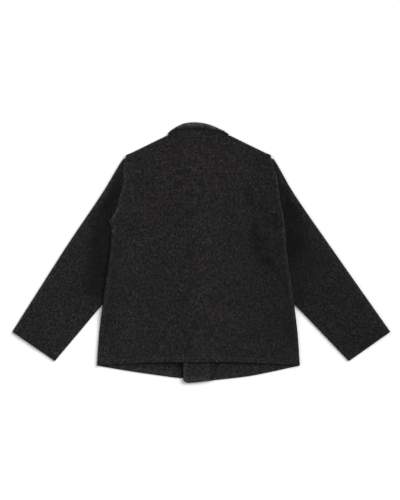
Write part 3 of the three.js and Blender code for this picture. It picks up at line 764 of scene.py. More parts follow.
# The fronts. They lie on the floor, and their folded edges turn up to meet the back
fronts = {
    "left": {
        "sign": -1,
        "shadow": 20.0,
        "hemPaintedHighlight": 0.6,
        "edgeX": 30.0,
        "hem": [(-303.8, -339), (-225, -352.5), (-145, -364.5), (-50, -377), (30, -383)],
        "creases": [
            ((-150, 180), (-168, 60), (-196, -60), 16, 0.7),
            ((-214, -20), (-236, -90), (-262, -150), 14, 0.6),
            ((-90, -60), (-100, -150), (-92, -240), 20, 0.6),
            ((-190, 230), (-176, 170), (-182, 110), 16, 0.6),
            ((-240, -200), (-252, -250), (-268, -300), 14, 0.5),
        ],
    },
    "right": {
        "sign": 1,
        "shadow": 12.0,
        "hemPaintedHighlight": 0.26,
        "edgeX": -46.0,
        "hem": [
            (-46, -382), (-41, -387.6), (-31, -391), (46, -383),
            (149, -371), (212, -359), (267, -347), (303.8, -339),
        ],
        "creases": [
            ((146, 190), (160, 70), (190, -40), 16, 0.35),
            ((208, 0), (240, -60), (262, -130), 14, 0.5),
            ((120, -90), (112, -170), (126, -250), 20, 0.6),
            ((186, 236), (174, 180), (184, 120), 16, 0.6),
            ((236, -180), (256, -240), (270, -300), 14, 0.5),
        ],
    },
    "step": (3.9, 4.2),
    "hemStitch": 24.4,
    "stack": 2.65,
}


def leftFrontLevel(x, y):
    return body["halfCloth"] + overSleeve(x, y) + overButtons(x, y)


def rightFrontLevel(x, y):
    stack = fronts["stack"] + 1.7 * (1 - smooth(-342, -308, y))
    return body["halfCloth"] + overSleeve(x, y) + stack * (1 - smooth(31.5, 52, x)) + overButtons(x, y)


def frontThickness(x, y, hemCurve):
    fromHem = y - hemCurve(x)
    inward = sideHalf(y) - np.abs(x)
    turnIn = turnedHem(fromHem) * smooth(4, 9, inward)
    shown = smooth(8, 14, inward) * (1 - smooth(20, 34, fromHem))
    pull = 0.3 * bell(fromHem - fronts["hemStitch"], 1.0) * shown
    ripple = 0.16 * np.sin(x * 2 * np.pi / 12.3 + np.sin(x / 29)) * shown * smooth(2, 8, fromHem)
    lower = -0.35 * bell(fromHem - 13, 1.1) * smooth(8, 14, inward)
    return body["halfCloth"] + turnIn - pull + ripple, body["halfCloth"] + lower


frontPieces, frontThreads = {}, {}
for label, level in (("left", leftFrontLevel), ("right", rightFrontLevel)):
    front = fronts[label]
    sign = front["sign"]
    hemCurve = curve(front["hem"])
    hasFold = [0, 0.15, 0.4, 0.8, 1.35, 2.1, 2.9, 4.2, 6, 8.5, 11.5]
    edgeIn = [0, 0.3, 0.8, 1.5, 3.0, 5, 8]
    outerX = (lambda at, sign=sign: sign * bodyHalf(at))
    innerX = (lambda at, front=front: front["edgeX"] + 0 * np.asarray(at, float))
    ends = (outerX, innerX) if sign < 0 else (innerX, outerX)
    x, y = panelGrid(
        hemCurve,
        lambda at, sign=sign: np.where(sign * at > body["neck"][0], shoulderY(at), frontNeckY(at)),
        *ends,
        fronts["step"],
        (hasFold, edgeIn) if sign < 0 else (edgeIn, hasFold),
        [0, 0.3, 0.8, 1.6, 3, 5.5, 9, 12, 13, 14, 18, 21.5, 23.4, 24.4, 25.5, 26.5, 27.5, 28.5, 31],
        float(body["neck"][1] - hemCurve(sign * body["neck"][0])),
    )

    def lifted(x, y, level=level, front=front, sign=sign):
        calm = smooth(6, 40, sideHalf(y) - np.abs(x)) * smooth(20, 60, sign * (x - front["edgeX"]))
        return level(x, y) + creases(x, y, front["creases"]) * calm * smooth(30, 60, sign * x)

    middle, normal = bodySheet(x, y, lifted, 1)
    middle = settled(middle)
    above, below = frontThickness(x, y, hemCurve)
    fromHem = y - hemCurve(x)
    fromFree = np.minimum.reduce(
        [
            fromHem,
            sign * (x - front["edgeX"]),
            np.where(np.abs(x) < body["neck"][0], (frontNeckY(x) - y) * 0.6, 1e9),
        ]
    )
    share = rounded(fromFree, 1.3)
    # Painted shadow of the back's hem and of the facing's edge on the fronts
    shadeUnderBack = smooth(mix(8, front["shadow"], smooth(260, 60, sign * x)), 1, backHemY(x) - y)
    if sign < 0:
        shadeBesideFacing = 1.7 * smooth(-76, -50, x)
    else:
        shadeBesideFacing = 1.0 * bell(x - 38.5, 3.2) + 0.2 * smooth(70, 45, x)
    stitchLine = 0.7 * bell(fromHem - fronts["hemStitch"], 1.5)
    # Painted highlight on the free edges and up from the hem; painted shade under the back's hem, beside the
    # facing and along the hem stitches
    marks = {
        "grain": (middle + [0, 0, 200 if sign < 0 else 400]) / 1000,
        "paintedHighlight": np.maximum(smooth(7, 0.5, fromFree) * 1.2, front["hemPaintedHighlight"] * smooth(21, 9, fromHem)),
        "paintedShade": 1.2 * shadeUnderBack + shadeBesideFacing * smooth(-325, -340, y) + stitchLine,
    }
    cloth = clothShell(f"front_{label}_cloth", middle, normal, above * share, below * share, wool, marks)
    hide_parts(f"front_{label}")
    frontPieces[label] = cloth

    def onFront(x, y, lifted=lifted, hemCurve=hemCurve):
        middle, normal = bodySheet(x, y, lifted, 1)
        above, _ = frontThickness(x, y, hemCurve)
        return middle + normal * above[:, None], normal

    xLine = spacing(-294, 26, 3) if sign < 0 else spacing(40, 294, 3)
    rows = [onFront(xLine, hemCurve(xLine) + fronts["hemStitch"])]
    yLine = spacing(-330, 70, 3)
    rows.append(onFront(sign * (sideHalf(yLine) - back["stitchIn"][1]), yLine))
    frontThreads[label] = threads(f"front_{label}_stitches", rows, darkThread, stitch)
print("fronts made")

# The facing of the right front, seen below the back's hem
facing = {
    "edgeX": -45.5,
    "innerX": 36.0,
    "hemInset": 0.6,
    "length": 652.0,
    "thickness": 1.6,
    "welt": 0.75,
    "stitchIn": 7.2,
    "step": (2.0, 4.0),
}
rightHem = curve(fronts["right"]["hem"])


def facingLevel(x, y):
    hem = body["hemBulk"] * (1 - smooth(27.5, 31, y - rightHem(x)))
    return rightFrontLevel(x, y) + body["halfCloth"] + hem + body["gap"] + facing["thickness"] / 2


def facingEdges(x, y):
    # Both long edges stand up as soft welts, with a shallow line of stitches beside each.
    # Under the back the welts lie flat
    left, right = x - facing["edgeX"], facing["innerX"] - x
    low = y - rightHem(x) - facing["hemInset"]
    clear = 1 - smooth(-250, -200, y)
    shown = 1 - smooth(-335, -328.5, y)
    welt = sum(facing["welt"] * smooth(-1, 1.5, d) * (1 - smooth(4.2, 6.2, d)) for d in (left, right)) * shown
    pull = sum(0.25 * bell(d - facing["stitchIn"], 0.9) for d in (left, right, low)) * clear
    return welt - pull + 0.12 * waves(x, y, 31, (12, 40)) * clear


facingWidth, length = facing["innerX"] - facing["edgeX"], facing["length"]
edgeSteps = np.array([0, 0.3, 0.8, 1.5])
inner = spacing(3, facingWidth - 3, facing["step"][0])
uLine = np.concatenate([edgeSteps, inner, facingWidth - edgeSteps[::-1]]) / facingWidth
upward = spacing(64, length, facing["step"][1])
vLine = np.concatenate([[0, 0.3, 0.8, 1.6, 3, 5], spacing(7, 60, 2.2), upward]) / length
uGrid, vGrid = np.meshgrid(uLine, vLine)
x = mix(facing["edgeX"], facing["innerX"], uGrid)
y = mix(rightHem(x) + facing["hemInset"], frontNeckY(x), vGrid)
middle, normal = bodySheet(x, y, facingLevel, 0)
fromHem = y - rightHem(x) - facing["hemInset"]
fromFree = np.minimum.reduce([x - facing["edgeX"], facing["innerX"] - x, fromHem])
share = rounded(fromFree, 1.0)
half = np.full_like(x, facing["thickness"] / 2)
# Painted highlight near both long edges and along the hem; painted shade in a line along the facing, at its
# inner edge and under the back's hem
marks = {
    "grain": np.stack([x, y, np.full_like(x, 600.0)], -1) / 1000,
    "paintedHighlight": np.maximum.reduce(
        [
            smooth(14, 10, x - facing["edgeX"]) * 0.55,
            smooth(2, 6, facing["innerX"] - x) * smooth(17, 12, facing["innerX"] - x) * 0.5,
            smooth(30, 3, y - rightHem(x)) * 1.3,
        ]
    ),
    "paintedShade": 0.4 * bell(x - facing["edgeX"] - 15.5, 2.4)
    + 0.8 * smooth(3.5, 1, facing["innerX"] - x)
    + 0.7 * smooth(8, 1, backHemY(x) - y),
}
facingCloth = clothShell(
    "facing_right_cloth", middle, normal, (half + facingEdges(x, y)) * share, half * share, facingWool, marks
)
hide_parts("facing_right")


def onFacing(x, y):
    middle, normal = bodySheet(x, y, facingLevel, 0)
    return middle + normal * (facing["thickness"] / 2 + facingEdges(x, y))[:, None], normal


yLine = spacing(-378, -200, 3)
xLine = spacing(-38, 29, 3)
facingThreads = threads(
    "facing_stitches",
    [
        onFacing(facing["edgeX"] + facing["stitchIn"] + 0 * yLine, yLine),
        onFacing(facing["innerX"] - facing["stitchIn"] + 0 * yLine, yLine),
        onFacing(xLine, rightHem(xLine) + facing["hemInset"] + facing["stitchIn"]),
    ],
    darkThread,
    stitch,
)
print("facing made")

# The sleeves: flattened tubes with rows square across them, open along the armhole
sleeve = {
    "top": 281.0,
    "crotchY": -152.0,
    "outerRoll": 2.9,
    "press": [
        (10, 0), (20, 1.4), (30, 4.6), (40, 6.6), (45, 6.0), (50, 3.7),
        (55, 2.2), (60, 1.2), (65, 0.6), (70, 0.3), (79, 0.1), (83, 0),
    ],
    "innerRoll": 1.8,
    "seamIn": 7.5,
    "sag": 0.6,
    "rowStep": 4.3,
    "tuck": [(80, -2.35), (60, -2.4), (38, -2.35), (0, 13), (-60, 20), (-125, 15), (-152, -1)],
    "left": {
        "side": -1,
        "paintedShade": 0.0,
        "shade": 1.6,
        "rim": 0.15,
        "shadeWidth": (36.0, 90.0),
        "shadeTop": 0.35,
        "shadeFade": (-150.0, -110.0, 0.3),
        "cuffOuter": (558.0, -238.0),
        "cuffInner": (432.0, -325.0),
        "bow": [(0, 0), (0.04, 1.2), (0.2, -2.2), (0.5, 1.6), (1, 0)],
        "creases": [
            ((236, 232), (262, 168), (292, 110), 26, -1.9),
            ((262, 226), (292, 170), (330, 108), 18, 0.8),
            ((285, 66), (330, 20), (384, -26), 15, -1.0),
            ((292, 30), (330, -14), (360, -60), 13, 0.8),
            ((330, -70), (372, -110), (400, -170), 17, -0.8),
            ((430, -40), (452, -92), (470, -150), 20, 0.7),
            ((372, -180), (420, -196), (462, -224), 14, 0.6),
            ((500, -172), (486, -212), (466, -262), 18, -0.6),
        ],
    },
    "right": {
        "side": 1,
        # A painted shade that darkens the whole right sleeve
        "paintedShade": 0.58,
        "shade": 1.5,
        "rim": 0.4,
        "shadeWidth": (24.0, 80.0),
        "shadeTop": 0.25,
        "shadeFade": (-80.0, 70.0, 0.35),
        "cuffOuter": (575.5, -238.0),
        "cuffInner": (452.5, -325.0),
        "bow": [(0, 0), (0.04, 0.6), (0.2, -7), (0.5, -5.5), (1, 0)],
        "creases": [
            ((240, 236), (262, 160), (300, 84), 30, -2.3),
            ((276, 204), (308, 136), (350, 76), 18, 0.9),
            ((284, 60), (322, 8), (352, -60), 18, -1.2),
            ((330, 46), (372, 0), (410, -60), 16, 0.8),
            ((350, -96), (396, -126), (440, -176), 16, -0.8),
            ((452, -48), (470, -104), (486, -160), 20, 0.7),
            ((404, -212), (446, -214), (492, -236), 14, 0.6),
            ((520, -180), (504, -220), (484, -268), 18, -0.6),
        ],
    },
}
tuckIn = curve(sleeve["tuck"])


def sleevePlan(spec):
    # Outer edge over its share, and inner edge over y
    bowOut = curve(spec["bow"])
    start = np.array(body["shoulder"]) + [1.5, -1.5]
    run = np.array(spec["cuffOuter"]) - start
    length = np.hypot(*run)
    outward = np.array([-run[1], run[0]]) / length
    crotchX = float(sideHalf(sleeve["crotchY"]) - tuckIn(sleeve["crotchY"]))

    def outer(s):
        return start + run * s[..., None] + outward * bowOut(s)[..., None]

    def inner(y):
        atArmhole = armholeHalf(y) + 0.5 + 2.3 * (1 - smooth(94, 138, y))
        tucked = sideHalf(y) - tuckIn(y)
        t = (y - sleeve["crotchY"]) / (spec["cuffInner"][1] - sleeve["crotchY"])
        straight = mix(crotchX, spec["cuffInner"][0], t)
        x = np.where(y > body["underarmY"], atArmhole, np.where(y > sleeve["crotchY"], tucked, straight))
        return np.stack([x, y + 0 * x], -1)

    def shareOf(p):
        return ((p - start) @ run) / length**2

    return outer, inner, lambda p: np.maximum(0, shareOf(p) / shareOf(np.array(spec["cuffInner"]))), outward


sleevePress = curve(sleeve["press"])


def sleeveSheet(spec, y, d, upper):
    # y along the inner edge and d, the distance across from it, give the middle of the cloth and its normal.
    # d may be a function of the row's slant, width and bends
    outer, inner, shareOf, outward = sleevePlan(spec)
    start = inner(y)
    end = outer(shareOf(start))
    span = end - start
    width = np.linalg.norm(span, axis=-1)
    across = span / width[..., None]
    edge = unit(inner(y - 1) - inner(y + 1))
    inwardX, inwardY = -edge[..., 1], edge[..., 0]
    slant = np.maximum(0.5, across[..., 0] * inwardX + across[..., 1] * inwardY)
    closed = y <= body["underarmY"]
    outerBend = np.minimum(sleeve["outerRoll"], 0.45 * width)
    innerBend = np.minimum(sleeve["innerRoll"] / slant, 0.3 * width)
    if callable(d):
        d = d(slant, width, outerBend, innerBend)
    # At the armhole the lower layer comes up to the front, and the upper one slips just under the back.
    # Below the underarm the sleeve is pushed in under the lifted side of the body
    fill = 2.3 * (1 - smooth(94, 138, y)) * smooth(80.5, 84, y)
    slip = 1.6 * smooth(84, 90, y) * (1 - smooth(96, 112, y))
    reach = np.where(closed, sleevePress(y), fill + np.where(upper, slip, 0)) * np.clip(1 - d / 9, 0, 1)
    place = start + across * (d - reach)[..., None]
    underarm = inner(np.array([body["underarmY"]]))[0]
    near = np.where(closed, d * slant, np.hypot(place[..., 0] - underarm[0], place[..., 1] - underarm[1]))
    low = 1 - smooth(28, 90, near)
    sag = sleeve["sag"] * np.sin(np.pi * d / width) * (1 - low)
    gap = 2 * mix(sleeve["outerRoll"], sleeve["innerRoll"], low) - sag
    outDrop, outSlope = turned(width - d, outerBend)
    inDrop, inSlope = turned(d * slant, innerBend * slant)
    inDrop, inSlope = np.where(closed, inDrop, 0), np.where(closed, inSlope, 0)
    share = outDrop / outerBend + inDrop / (innerBend * slant)
    onFold = closed & (d <= 0)
    share = np.where(onFold, 1, share)
    leanOut = gap / 2 * outSlope / outerBend
    leanIn = gap / 2 * inSlope / (innerBend * slant)
    z = body["halfCloth"] + np.where(upper, gap * (1 - share / 2), gap * share / 2)
    flat = np.stack(
        [
            outward[0] * leanOut - inwardX * leanIn,
            outward[1] * leanOut - inwardY * leanIn,
            np.where(onFold, 0, np.where(upper, 1.0, -1.0)),
        ],
        -1,
    )
    normal = unit(flat)
    calm = smooth(3, 26, width - d) * np.where(closed, smooth(3, 22, d * slant), smooth(2, 20, d))
    # Folds and ripples move the cloth up and down. The lower side only lifts, since it lies on the floor
    soft = creases(place[..., 0], place[..., 1], spec["creases"])
    ripple = 0.45 * waves(place[..., 0], place[..., 1], 21 + spec["side"], (45, 140))
    lift = np.where(upper, soft + ripple, np.clip(-0.45 * soft, 0, 0.7))
    step = 0.6
    slope = []
    for dx, dy in ((step, 0), (0, step)):
        ahead = creases(place[..., 0] + dx, place[..., 1] + dy, spec["creases"])
        behind = creases(place[..., 0] - dx, place[..., 1] - dy, spec["creases"])
        slope.append((ahead - behind) / (2 * step) * np.where(upper, 1, 0))
    z = z + lift * calm
    tilt = np.stack([slope[0] * calm, slope[1] * calm, 0 * calm], -1) * np.where(upper, 1, 0)[..., None]
    normal = unit(normal - tilt)
    side = spec["side"]
    mirror = np.array([side, 1, 1])
    middle = np.stack([place[..., 0], place[..., 1], z], -1) * mirror
    return middle, normal * mirror, {"d": d, "width": width, "slant": slant, "closed": closed, "place": place}


sleevePieces, sleeveThreads = {}, {}
for label in ("left", "right"):
    spec = sleeve[label]
    rowsY = np.concatenate(
        [
            spacing(sleeve["top"], 87, sleeve["rowStep"]),
            [84.5, 82.2],
            spacing(body["underarmY"], spec["cuffInner"][1] + 22, sleeve["rowStep"]),
            spec["cuffInner"][1] + np.array([18, 14, 11, 9, 7, 5, 3.2, 1.8, 0.9, 0.3, 0]),
        ]
    )
    openRows = int(np.flatnonzero(rowsY <= body["underarmY"])[0])
    inner = np.linspace(0, 1, 42)[1:-1]

    def spread(slant, width, outerBend, innerBend, inner=inner):
        w, o, i = (value[:, :1] for value in (width, outerBend, innerBend))
        seam = i + np.array([2.2, 4.2, 5.6, 6.6, 7.5, 8.4, 9.6]) * np.minimum(1, w / 60)
        middle = mix(seam[:, -1:], w - o, inner[None])
        top = np.concatenate([foldSteps[None] * i, seam, middle, w - (foldSteps[None] * o)[:, ::-1]], 1)
        return np.concatenate([top, top[:, :-1][:, ::-1]], 1)

    columns = 2 * (len(foldSteps) * 2 + 7 + len(inner)) - 1
    top = np.repeat((np.arange(columns) <= columns // 2)[None], len(rowsY), 0)
    yGrid = np.repeat(rowsY[:, None], columns, 1)
    middle, normal, facts = sleeveSheet(spec, yGrid, spread, top)
    d, width, closed, slant = (facts[key] for key in ("d", "width", "closed", "slant"))
    middle = settled(middle, smooth(0.8, 0.06, d / width))
    fromInner, fromOuter = d * slant, width - d
    alongCuff = (rowsY - rowsY[-1])[:, None] * 1.18 + 0 * d
    clear = smooth(-150, -160, yGrid)
    seamLine = 0.55 * smooth(0.5, 3, fromInner) * (1 - smooth(6.4, 9.2, fromInner))
    seamPull = 0.3 * bell(fromInner - sleeve["seamIn"], 0.9)
    pucker = 0.12 * np.sin(yGrid * 2 * np.pi / 9.1) * smooth(1, 4, fromInner) * (1 - smooth(8, 13, fromInner))
    relief = np.where(closed, seamLine - seamPull + pucker, 0) * clear
    fuzz = 0.06 * waves(d, yGrid, 27, (7, 16), 12) * smooth(2, 6, np.minimum(fromInner, fromOuter))
    above = body["halfCloth"] + np.where(top, relief + fuzz, 0)
    above = np.where(closed & (d <= 0), body["halfCloth"], above)
    below = np.full_like(above, body["halfCloth"])
    fromFree = np.where(closed, alongCuff, np.minimum(alongCuff, d))
    share = rounded(fromFree, 1.1)
    fromFold = np.minimum(fromOuter, np.where(closed, fromInner, 1e9))
    # The painted shade beside the body: its width, and how it fades towards both ends of the sleeve
    upY = middle[..., 1]
    fromBody = np.abs(middle[..., 0]) - bodyHalf(upY)
    nearWidth, farWidth = spec["shadeWidth"]
    fadeLow, fadeHigh, least = spec["shadeFade"]
    narrow = mix(spec["shadeTop"], 1, smooth(215, 85, upY))
    shade = smooth(farWidth * narrow, nearWidth * narrow, fromBody)
    shade = shade * mix(least, 1, smooth(fadeLow, fadeHigh, upY))
    shade = shade * mix(0.78, 1, smooth(150, 85, upY)) * smooth(-185, -120, upY) * (1 - smooth(255, 285, upY))
    # Depth of the fold hollows, used for a painted shade in them
    hollow = np.clip(-creases(facts["place"][..., 0], facts["place"][..., 1], spec["creases"]), 0, 2)
    stitchLine = 0.6 * bell(fromInner - sleeve["seamIn"], 1.3) * clear
    grainZ = middle[..., 2] + (800 if label == "left" else 1000)
    # Painted highlight on the outer fold, along its rim, on the folded edges and at the cuff; painted shade
    # beside the body, in the hollows, over the whole right sleeve and along the seam stitches
    marks = {
        "grain": np.stack([d + np.where(top, 0, 400), yGrid * 1.18, grainZ], -1) / 1000,
        "paintedHighlight": np.maximum.reduce(
            [
                smooth(13, 0.5, fromOuter) * 1.1,
                smooth(30, 8, fromOuter) * spec["rim"],
                smooth(5, 0.5, fromFold) * 0.6,
                smooth(6, 0.5, alongCuff) * 0.9,
            ]
        ),
        "paintedShade": np.clip(shade * spec["shade"] + 0.4 * hollow + spec["paintedShade"] + stitchLine, 0, 1.9),
    }
    above, below = above * share, below * share
    cloth = clothShell(f"sleeve_{label}_cloth", middle, normal, above, below, wool, marks, openRows)
    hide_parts(f"sleeve_{label}")
    sleevePieces[label] = cloth
    yLine = spacing(-163, spec["cuffInner"][1] + 4, 3)
    upper = np.full(len(yLine), True)
    line, lineNormal, _ = sleeveSheet(spec, yLine, lambda slant, *_: sleeve["seamIn"] / slant, upper)
    rows = [(line + lineNormal * (body["halfCloth"] + 0.25), lineNormal)]
    sleeveThreads[label] = threads(f"sleeve_{label}_stitches", rows, darkThread, stitch)

# Turned-in seam allowances of the armholes, which close these seams from inside
armholeSeam = {
    "low": 82.0, "high": 279.0, "inward": 6.0, "outward": 4.5,
    "z": 2.9, "thickness": 0.9, "rim": 0.6, "paintedShade": 0.6,
}
for label in ("left", "right"):
    spec = sleeve[label]
    share, y = np.meshgrid(np.linspace(-1, 1, 11), spacing(armholeSeam["low"], armholeSeam["high"], 3))
    _, _, facts = sleeveSheet(spec, y, 0 * y, y > 0)
    outward = np.minimum(armholeSeam["outward"], 0.5 * facts["width"])
    across = np.where(share < 0, share * armholeSeam["inward"], share * outward)
    middle = settled(np.stack([spec["side"] * (armholeHalf(y) + across), y, 0 * y + armholeSeam["z"]], -1))
    toEnd = np.minimum(y - armholeSeam["low"], armholeSeam["high"] - y)
    toEdge = np.minimum.reduce([across + armholeSeam["inward"], outward - across, toEnd])
    grain = np.stack([across, y, 0 * y + 1600.0 + 100 * spec["side"]], -1)
    seamStrip(f"armhole_allowance_{label}", middle, grain, toEdge, armholeSeam)
print("sleeves made")

# A short bar of coloured thread that closes the seam at the left cuff
yLine = np.linspace(-313, -303, 8)
line, lineNormal, facts = sleeveSheet(sleeve["left"], yLine, np.linspace(17, 9, 8), np.ones(8, bool))
cuffMark = threads(
    "cuff_mark",
    [(line + lineNormal * (body["halfCloth"] + 0.1), lineNormal)],
    markThread,
    {**stitch, "pitch": 4.6, "length": 4.4, "radius": 0.42},
)

# The collar stand: a flattened ring, open at the centre front
inset = collar["thickness"] / 2
frontLevel = inset
sideLevel = frontLevel + 2 * collar["roll"]


def collarFold(sign, h):
    top = collar["left"] + inset if sign < 0 else collar["right"] - inset
    return mix(sign * (body["neck"][0] - collar["foldInset"]), top, h)


def collarBackY(x, h):
    foot = collarSeam(x) + collar["groove"] * mix(1, 1.9, smooth(60, 82, np.abs(x)))
    return mix(foot, collarTop(x) - 0.5, h)


def collarFrontY(x, h, sign):
    fold = collarFold(sign, h)
    share = np.abs(x / fold) ** 3
    low = mix(body["frontNeckY"] + 0.6, collar["frontLow"], h)
    return mix(low, collarBackY(fold, h), share)


def collarDepth(x):
    return np.clip((collarTop(x) - collarSeam(x)) / 18, 0, 1)


def collarBackLevel(x, h):
    inner = smooth(4, 50, body["neck"][0] - np.abs(x))
    crown = collar["crown"] * collarDepth(x) * np.sin(np.pi * smooth(-0.02, 1.1, h)) * inner
    return mix(sideLevel, back["neckLevel"], inner) + crown


heights = np.array([0, 0.03, 0.07, 0.12, 0.2, 0.3, 0.41, 0.52, 0.63, 0.74, 0.84, 0.91, 0.96, 0.985, 1.0])
frontShares = np.linspace(0, 1, 22)[:-1]
backShares = np.linspace(0, 1, 64)[1:-1]
spreadRoll = collar["roll"] * collar["foldSpread"]
columns = []
h = heights
left, right = collarFold(-1, h), collarFold(1, h)
for sign, fold in ((1, right), (-1, left)):
    end = collar["endX"] + sign * collar["endGap"] / 2
    flatX = mix(end, (fold - sign * collar["roll"])[:, None], frontShares[None])
    bendX = fold[:, None] - sign * foldSteps[None, 1:][:, ::-1] * collar["roll"]
    columns.append(np.concatenate([flatX, bendX], 1))
topLeft, topRight = left + spreadRoll, right - spreadRoll
acrossX = mix(topRight[:, None], topLeft[:, None], backShares[None])
topX = np.concatenate(
    [right[:, None] - foldSteps * spreadRoll, acrossX, (left[:, None] + foldSteps * spreadRoll)[:, ::-1]], 1
)
x = np.concatenate([columns[0], topX, columns[1][:, ::-1]], 1)
upper = np.zeros(x.shape, bool)
upper[:, columns[0].shape[1] : columns[0].shape[1] + topX.shape[1]] = True
hGrid = np.repeat(h[:, None], x.shape[1], 1)
sign = np.where(x < collar["endX"], -1, 1)
foldX = np.where(sign < 0, left[:, None], right[:, None])
drop, slope = turned(np.abs(x - foldX) / np.where(upper, collar["foldSpread"], 1), collar["roll"])
frontY = np.where(sign < 0, collarFrontY(x, hGrid, -1), collarFrontY(x, hGrid, 1))
y = np.where(upper, collarBackY(x, hGrid), frontY)
z = np.where(upper, collarBackLevel(x, hGrid) - drop, frontLevel + drop)
lowH, highH = np.maximum(hGrid - 0.05, 0), np.minimum(1, hGrid + 0.05)
rise = collarBackLevel(x, highH) - collarBackLevel(x, lowH)
run = np.maximum(collarBackY(x, highH) - collarBackY(x, lowH), 0.3)
lean = np.where(upper & (hGrid > 0), -rise / run * collarDepth(x), 0)
outX, outY = {}, {}
for s in (-1, 1):
    foot, top = collarFold(s, 0), collarFold(s, 1)
    foldRun = np.array([top - foot, collarBackY(top, 1) - collarBackY(foot, 0)])
    foldRun = foldRun / np.hypot(*foldRun)
    outX[s], outY[s] = s * foldRun[1], -s * foldRun[0]
tiltX = np.where(sign < 0, outX[-1], outX[1]) * slope
tiltY = np.where(sign < 0, outY[-1], outY[1]) * slope + lean
normal = unit(np.stack([tiltX, tiltY, np.where(upper, 1.0, -1.0)], -1))
middle = np.stack([x, y, z], -1)
depthAt = np.maximum(collarTop(x) - collarSeam(x), 4) * (1 - hGrid)
backRim, frontRim = rounded(depthAt, 3.2), rounded((1 - hGrid) * 30, 3.2)
thick = inset * np.where(upper, mix(0.5, 1, backRim), mix(0.5, 1, frontRim))
nearEnd = np.abs(x - collar["endX"]) - collar["endGap"] / 2
thick = thick * np.where(upper, 1, rounded(nearEnd + 0.05, 1.6))
foot = np.where(upper, hGrid * np.maximum(collarTop(x) - collarSeam(x), 4), 99)
outerThick = thick - np.where(upper, 0.45 * bell(foot - 4.6, 1.1) * collarDepth(x), 0)
# Painted highlight up the collar's roll and at its folded ends; painted shade at its foot
marks = {
    "grain": (middle + [0, 0, 1200]) / 1000,
    "paintedHighlight": np.where(upper, smooth(0.08, 0.7, hGrid) * (0.35 + 0.65 * smooth(0.2, 0.9, collarDepth(x))), 0.2)
    + 0.5 * bell(np.abs(x - foldX), 5),
    "paintedShade": np.where(upper, smooth(0.22, 0.0, hGrid), 0),
}
collarCloth = clothShell("collar_cloth", middle, normal, outerThick, thick, collarPaintedHighlightWool, marks)
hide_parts("collar")


# Turned-in seam allowance at the back of the neck, which closes the seam from inside
neckSeam = {
    "halfLength": 83.0, "below": 5.0, "beyond": 4.5, "z": 2.9, "thickness": 1.2, "rim": 0.8, "paintedShade": 0.6,
}
alongSeam = spacing(-neckSeam["halfLength"], neckSeam["halfLength"], 3)
seamSteps = spacing(-neckSeam["below"], neckSeam["beyond"], 1.3)
acrossX, acrossSeam = np.meshgrid(alongSeam, seamSteps, indexing="ij")
seamY = collarSeam(acrossX) + acrossSeam
middle = np.stack([acrossX, seamY, neckSeam["z"] + 0.1 * waves(acrossX, seamY, 41, (12, 40))], -1)
toEdge = np.minimum(acrossSeam + neckSeam["below"], neckSeam["beyond"] - acrossSeam)
grain = np.stack([acrossX, seamY, 0 * seamY + 1400], -1)
neckAllowance = seamStrip("neck_seam_allowance", middle, grain, toEdge, neckSeam)
print("collar made")

# Buttons: turned discs with a raised rim and four dimples for the thread, face down under the left front
buttons = {"count": 5, "top": 232.0, "pitch": 115.0, "holeAt": 2.3, "holeWidth": 0.75, "holeDepth": 0.9}


def hornMaterial(name):
    # Dark horn: soft brown streaks and a dull polish with fine scratches
    material, shader, start = newMaterial(name)
    place = start.node("ShaderNodeTexCoord", output="Object")
    streak = place.stretched(1.0, 4.0).noise(120.0, 4.0, 0.6)
    scratch = place.stretched(6.0, 1.0).noise(900.0, 2.0, 0.7)
    tone = streak.between(0.35, 0.7).blend((0.008, 0.0065, 0.006), (0.035, 0.024, 0.018))
    bump = start.node("ShaderNodeBump", {"Height": scratch, "Strength": 0.12, "Distance": 0.0002})
    plug(shader, {"Base Color": tone, "Normal": bump, "Roughness": 0.28 + scratch * 0.22}, {})
    return material


horn = hornMaterial("button_horn")
# Radius and height of the turned profile, from the middle of the face, over the rim, to the back's middle
profile = np.array(
    [
        *((r, 0.55) for r in (0.0, 1.0, 1.4, 1.9, 2.5, 3.2, 4.2)),
        (5.6, 0.56), (7.2, 0.6), (8.4, 0.5), (9.0, 0.25), (9.5, 0.06), (10.1, 0.0), (10.6, 0.06), (11.1, 0.3),
        (11.4, 0.7),
        (11.5, 1.3), (11.35, 1.9), (10.9, 2.35), (10.0, 2.58), (8.0, 2.6), (4.0, 2.6), (0.0, 2.6),
    ]
)
angles = np.linspace(0, 2 * np.pi, 49)
for i in range(buttons["count"]):
    r = np.maximum(profile[:, 0], 0.02)[:, None]
    px, py = r * np.cos(angles)[None], r * np.sin(angles)[None]
    pz = profile[:, 1][:, None] + 0 * px
    hole = 0
    for a in (math.pi / 4, 3 * math.pi / 4, 5 * math.pi / 4, 7 * math.pi / 4):
        away = np.hypot(px - buttons["holeAt"] * math.cos(a), py - buttons["holeAt"] * math.sin(a))
        hole = hole + np.exp(-((away / buttons["holeWidth"]) ** 4))
    pz = pz + hole * buttons["holeDepth"] * (profile[:, 1][:, None] < 1.0)
    centreY = buttons["top"] - i * buttons["pitch"]
    points = np.stack([px, py + centreY, pz], -1)
    index = np.arange(points.shape[0] * points.shape[1]).reshape(points.shape[:2])
    index[:, -1] = index[:, 0]
    disc = makeMesh(f"button_{i + 1}_turned", points, ringFaces(index), horn)
    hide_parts(f"button_{i + 1}")
print("buttons made")

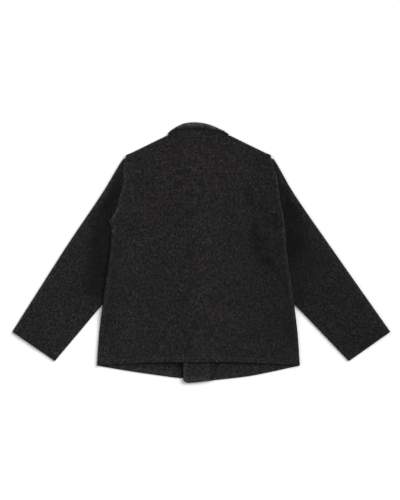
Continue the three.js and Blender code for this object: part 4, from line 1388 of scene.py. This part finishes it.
# Floor, light and camera
stage = {
    "floorHalf": 4.0,
    "floorZ": -0.0004,
    "world": 0.47,
    "key": {"from": (0.62, 0.46, 0.64), "angle": 42.0, "strength": 3.1},
    "fill": {"place": (-2.6, 0.5, 2.6), "size": 2.2, "power": 26.0},
    "camera": {"place": (-0.0039, 0.00825, 6.008), "lens": 144.0, "sensor": 36.0, "clipEnd": 50.0},
}


def floorMaterial():
    # Pale matt board with a barely visible tooth
    material, shader, start = newMaterial("pale_floor")
    place = start.node("ShaderNodeTexCoord", output="Object")
    tooth = place.noise(60.0, 3.0, 0.5)
    tone = tooth.between(0.2, 0.8).blend((0.87, 0.87, 0.87), (0.89, 0.89, 0.89))
    plug(shader, {"Base Color": tone}, {"Roughness": 0.9, "Specular IOR Level": 0.1})
    return material


s, z = stage["floorHalf"], stage["floorZ"]
floorMesh = bpy.data.meshes.new("floor")
floorMesh.from_pydata([(-s, -s, z), (s, -s, z), (s, s, z), (-s, s, z)], [], [(0, 1, 2, 3)])
floorMesh.materials.append(floorMaterial())
floor = bpy.data.objects.new("floor", floorMesh)
bpy.context.scene.collection.objects.link(floor)

world = bpy.data.worlds.new("studio")
world.use_nodes = True
world.node_tree.nodes["Background"].inputs["Color"].default_value = (1.0, 1.0, 1.0, 1.0)
world.node_tree.nodes["Background"].inputs["Strength"].default_value = stage["world"]
bpy.context.scene.world = world


def aimLight(light, place):
    # A light at this place that shines on the middle of the floor
    holder = bpy.data.objects.new(light.name, light)
    holder.location = place
    holder.rotation_mode = "QUATERNION"
    holder.rotation_quaternion = (-Vector(place)).to_track_quat("-Z", "Y")
    bpy.context.scene.collection.objects.link(holder)


key = bpy.data.lights.new("key", "SUN")
key.energy = stage["key"]["strength"]
key.angle = math.radians(stage["key"]["angle"])
aimLight(key, stage["key"]["from"])
fill = bpy.data.lights.new("fill", "AREA")
fill.size = stage["fill"]["size"]
fill.energy = stage["fill"]["power"]
aimLight(fill, stage["fill"]["place"])

lens = bpy.data.cameras.new("above")
lens.lens = stage["camera"]["lens"]
lens.sensor_width = stage["camera"]["sensor"]
lens.clip_end = stage["camera"]["clipEnd"]
above = bpy.data.objects.new("above", lens)
above.location = stage["camera"]["place"]
bpy.context.scene.collection.objects.link(above)
bpy.context.scene.camera = above
bpy.context.scene.view_settings.view_transform = "Standard"
print("stage made")
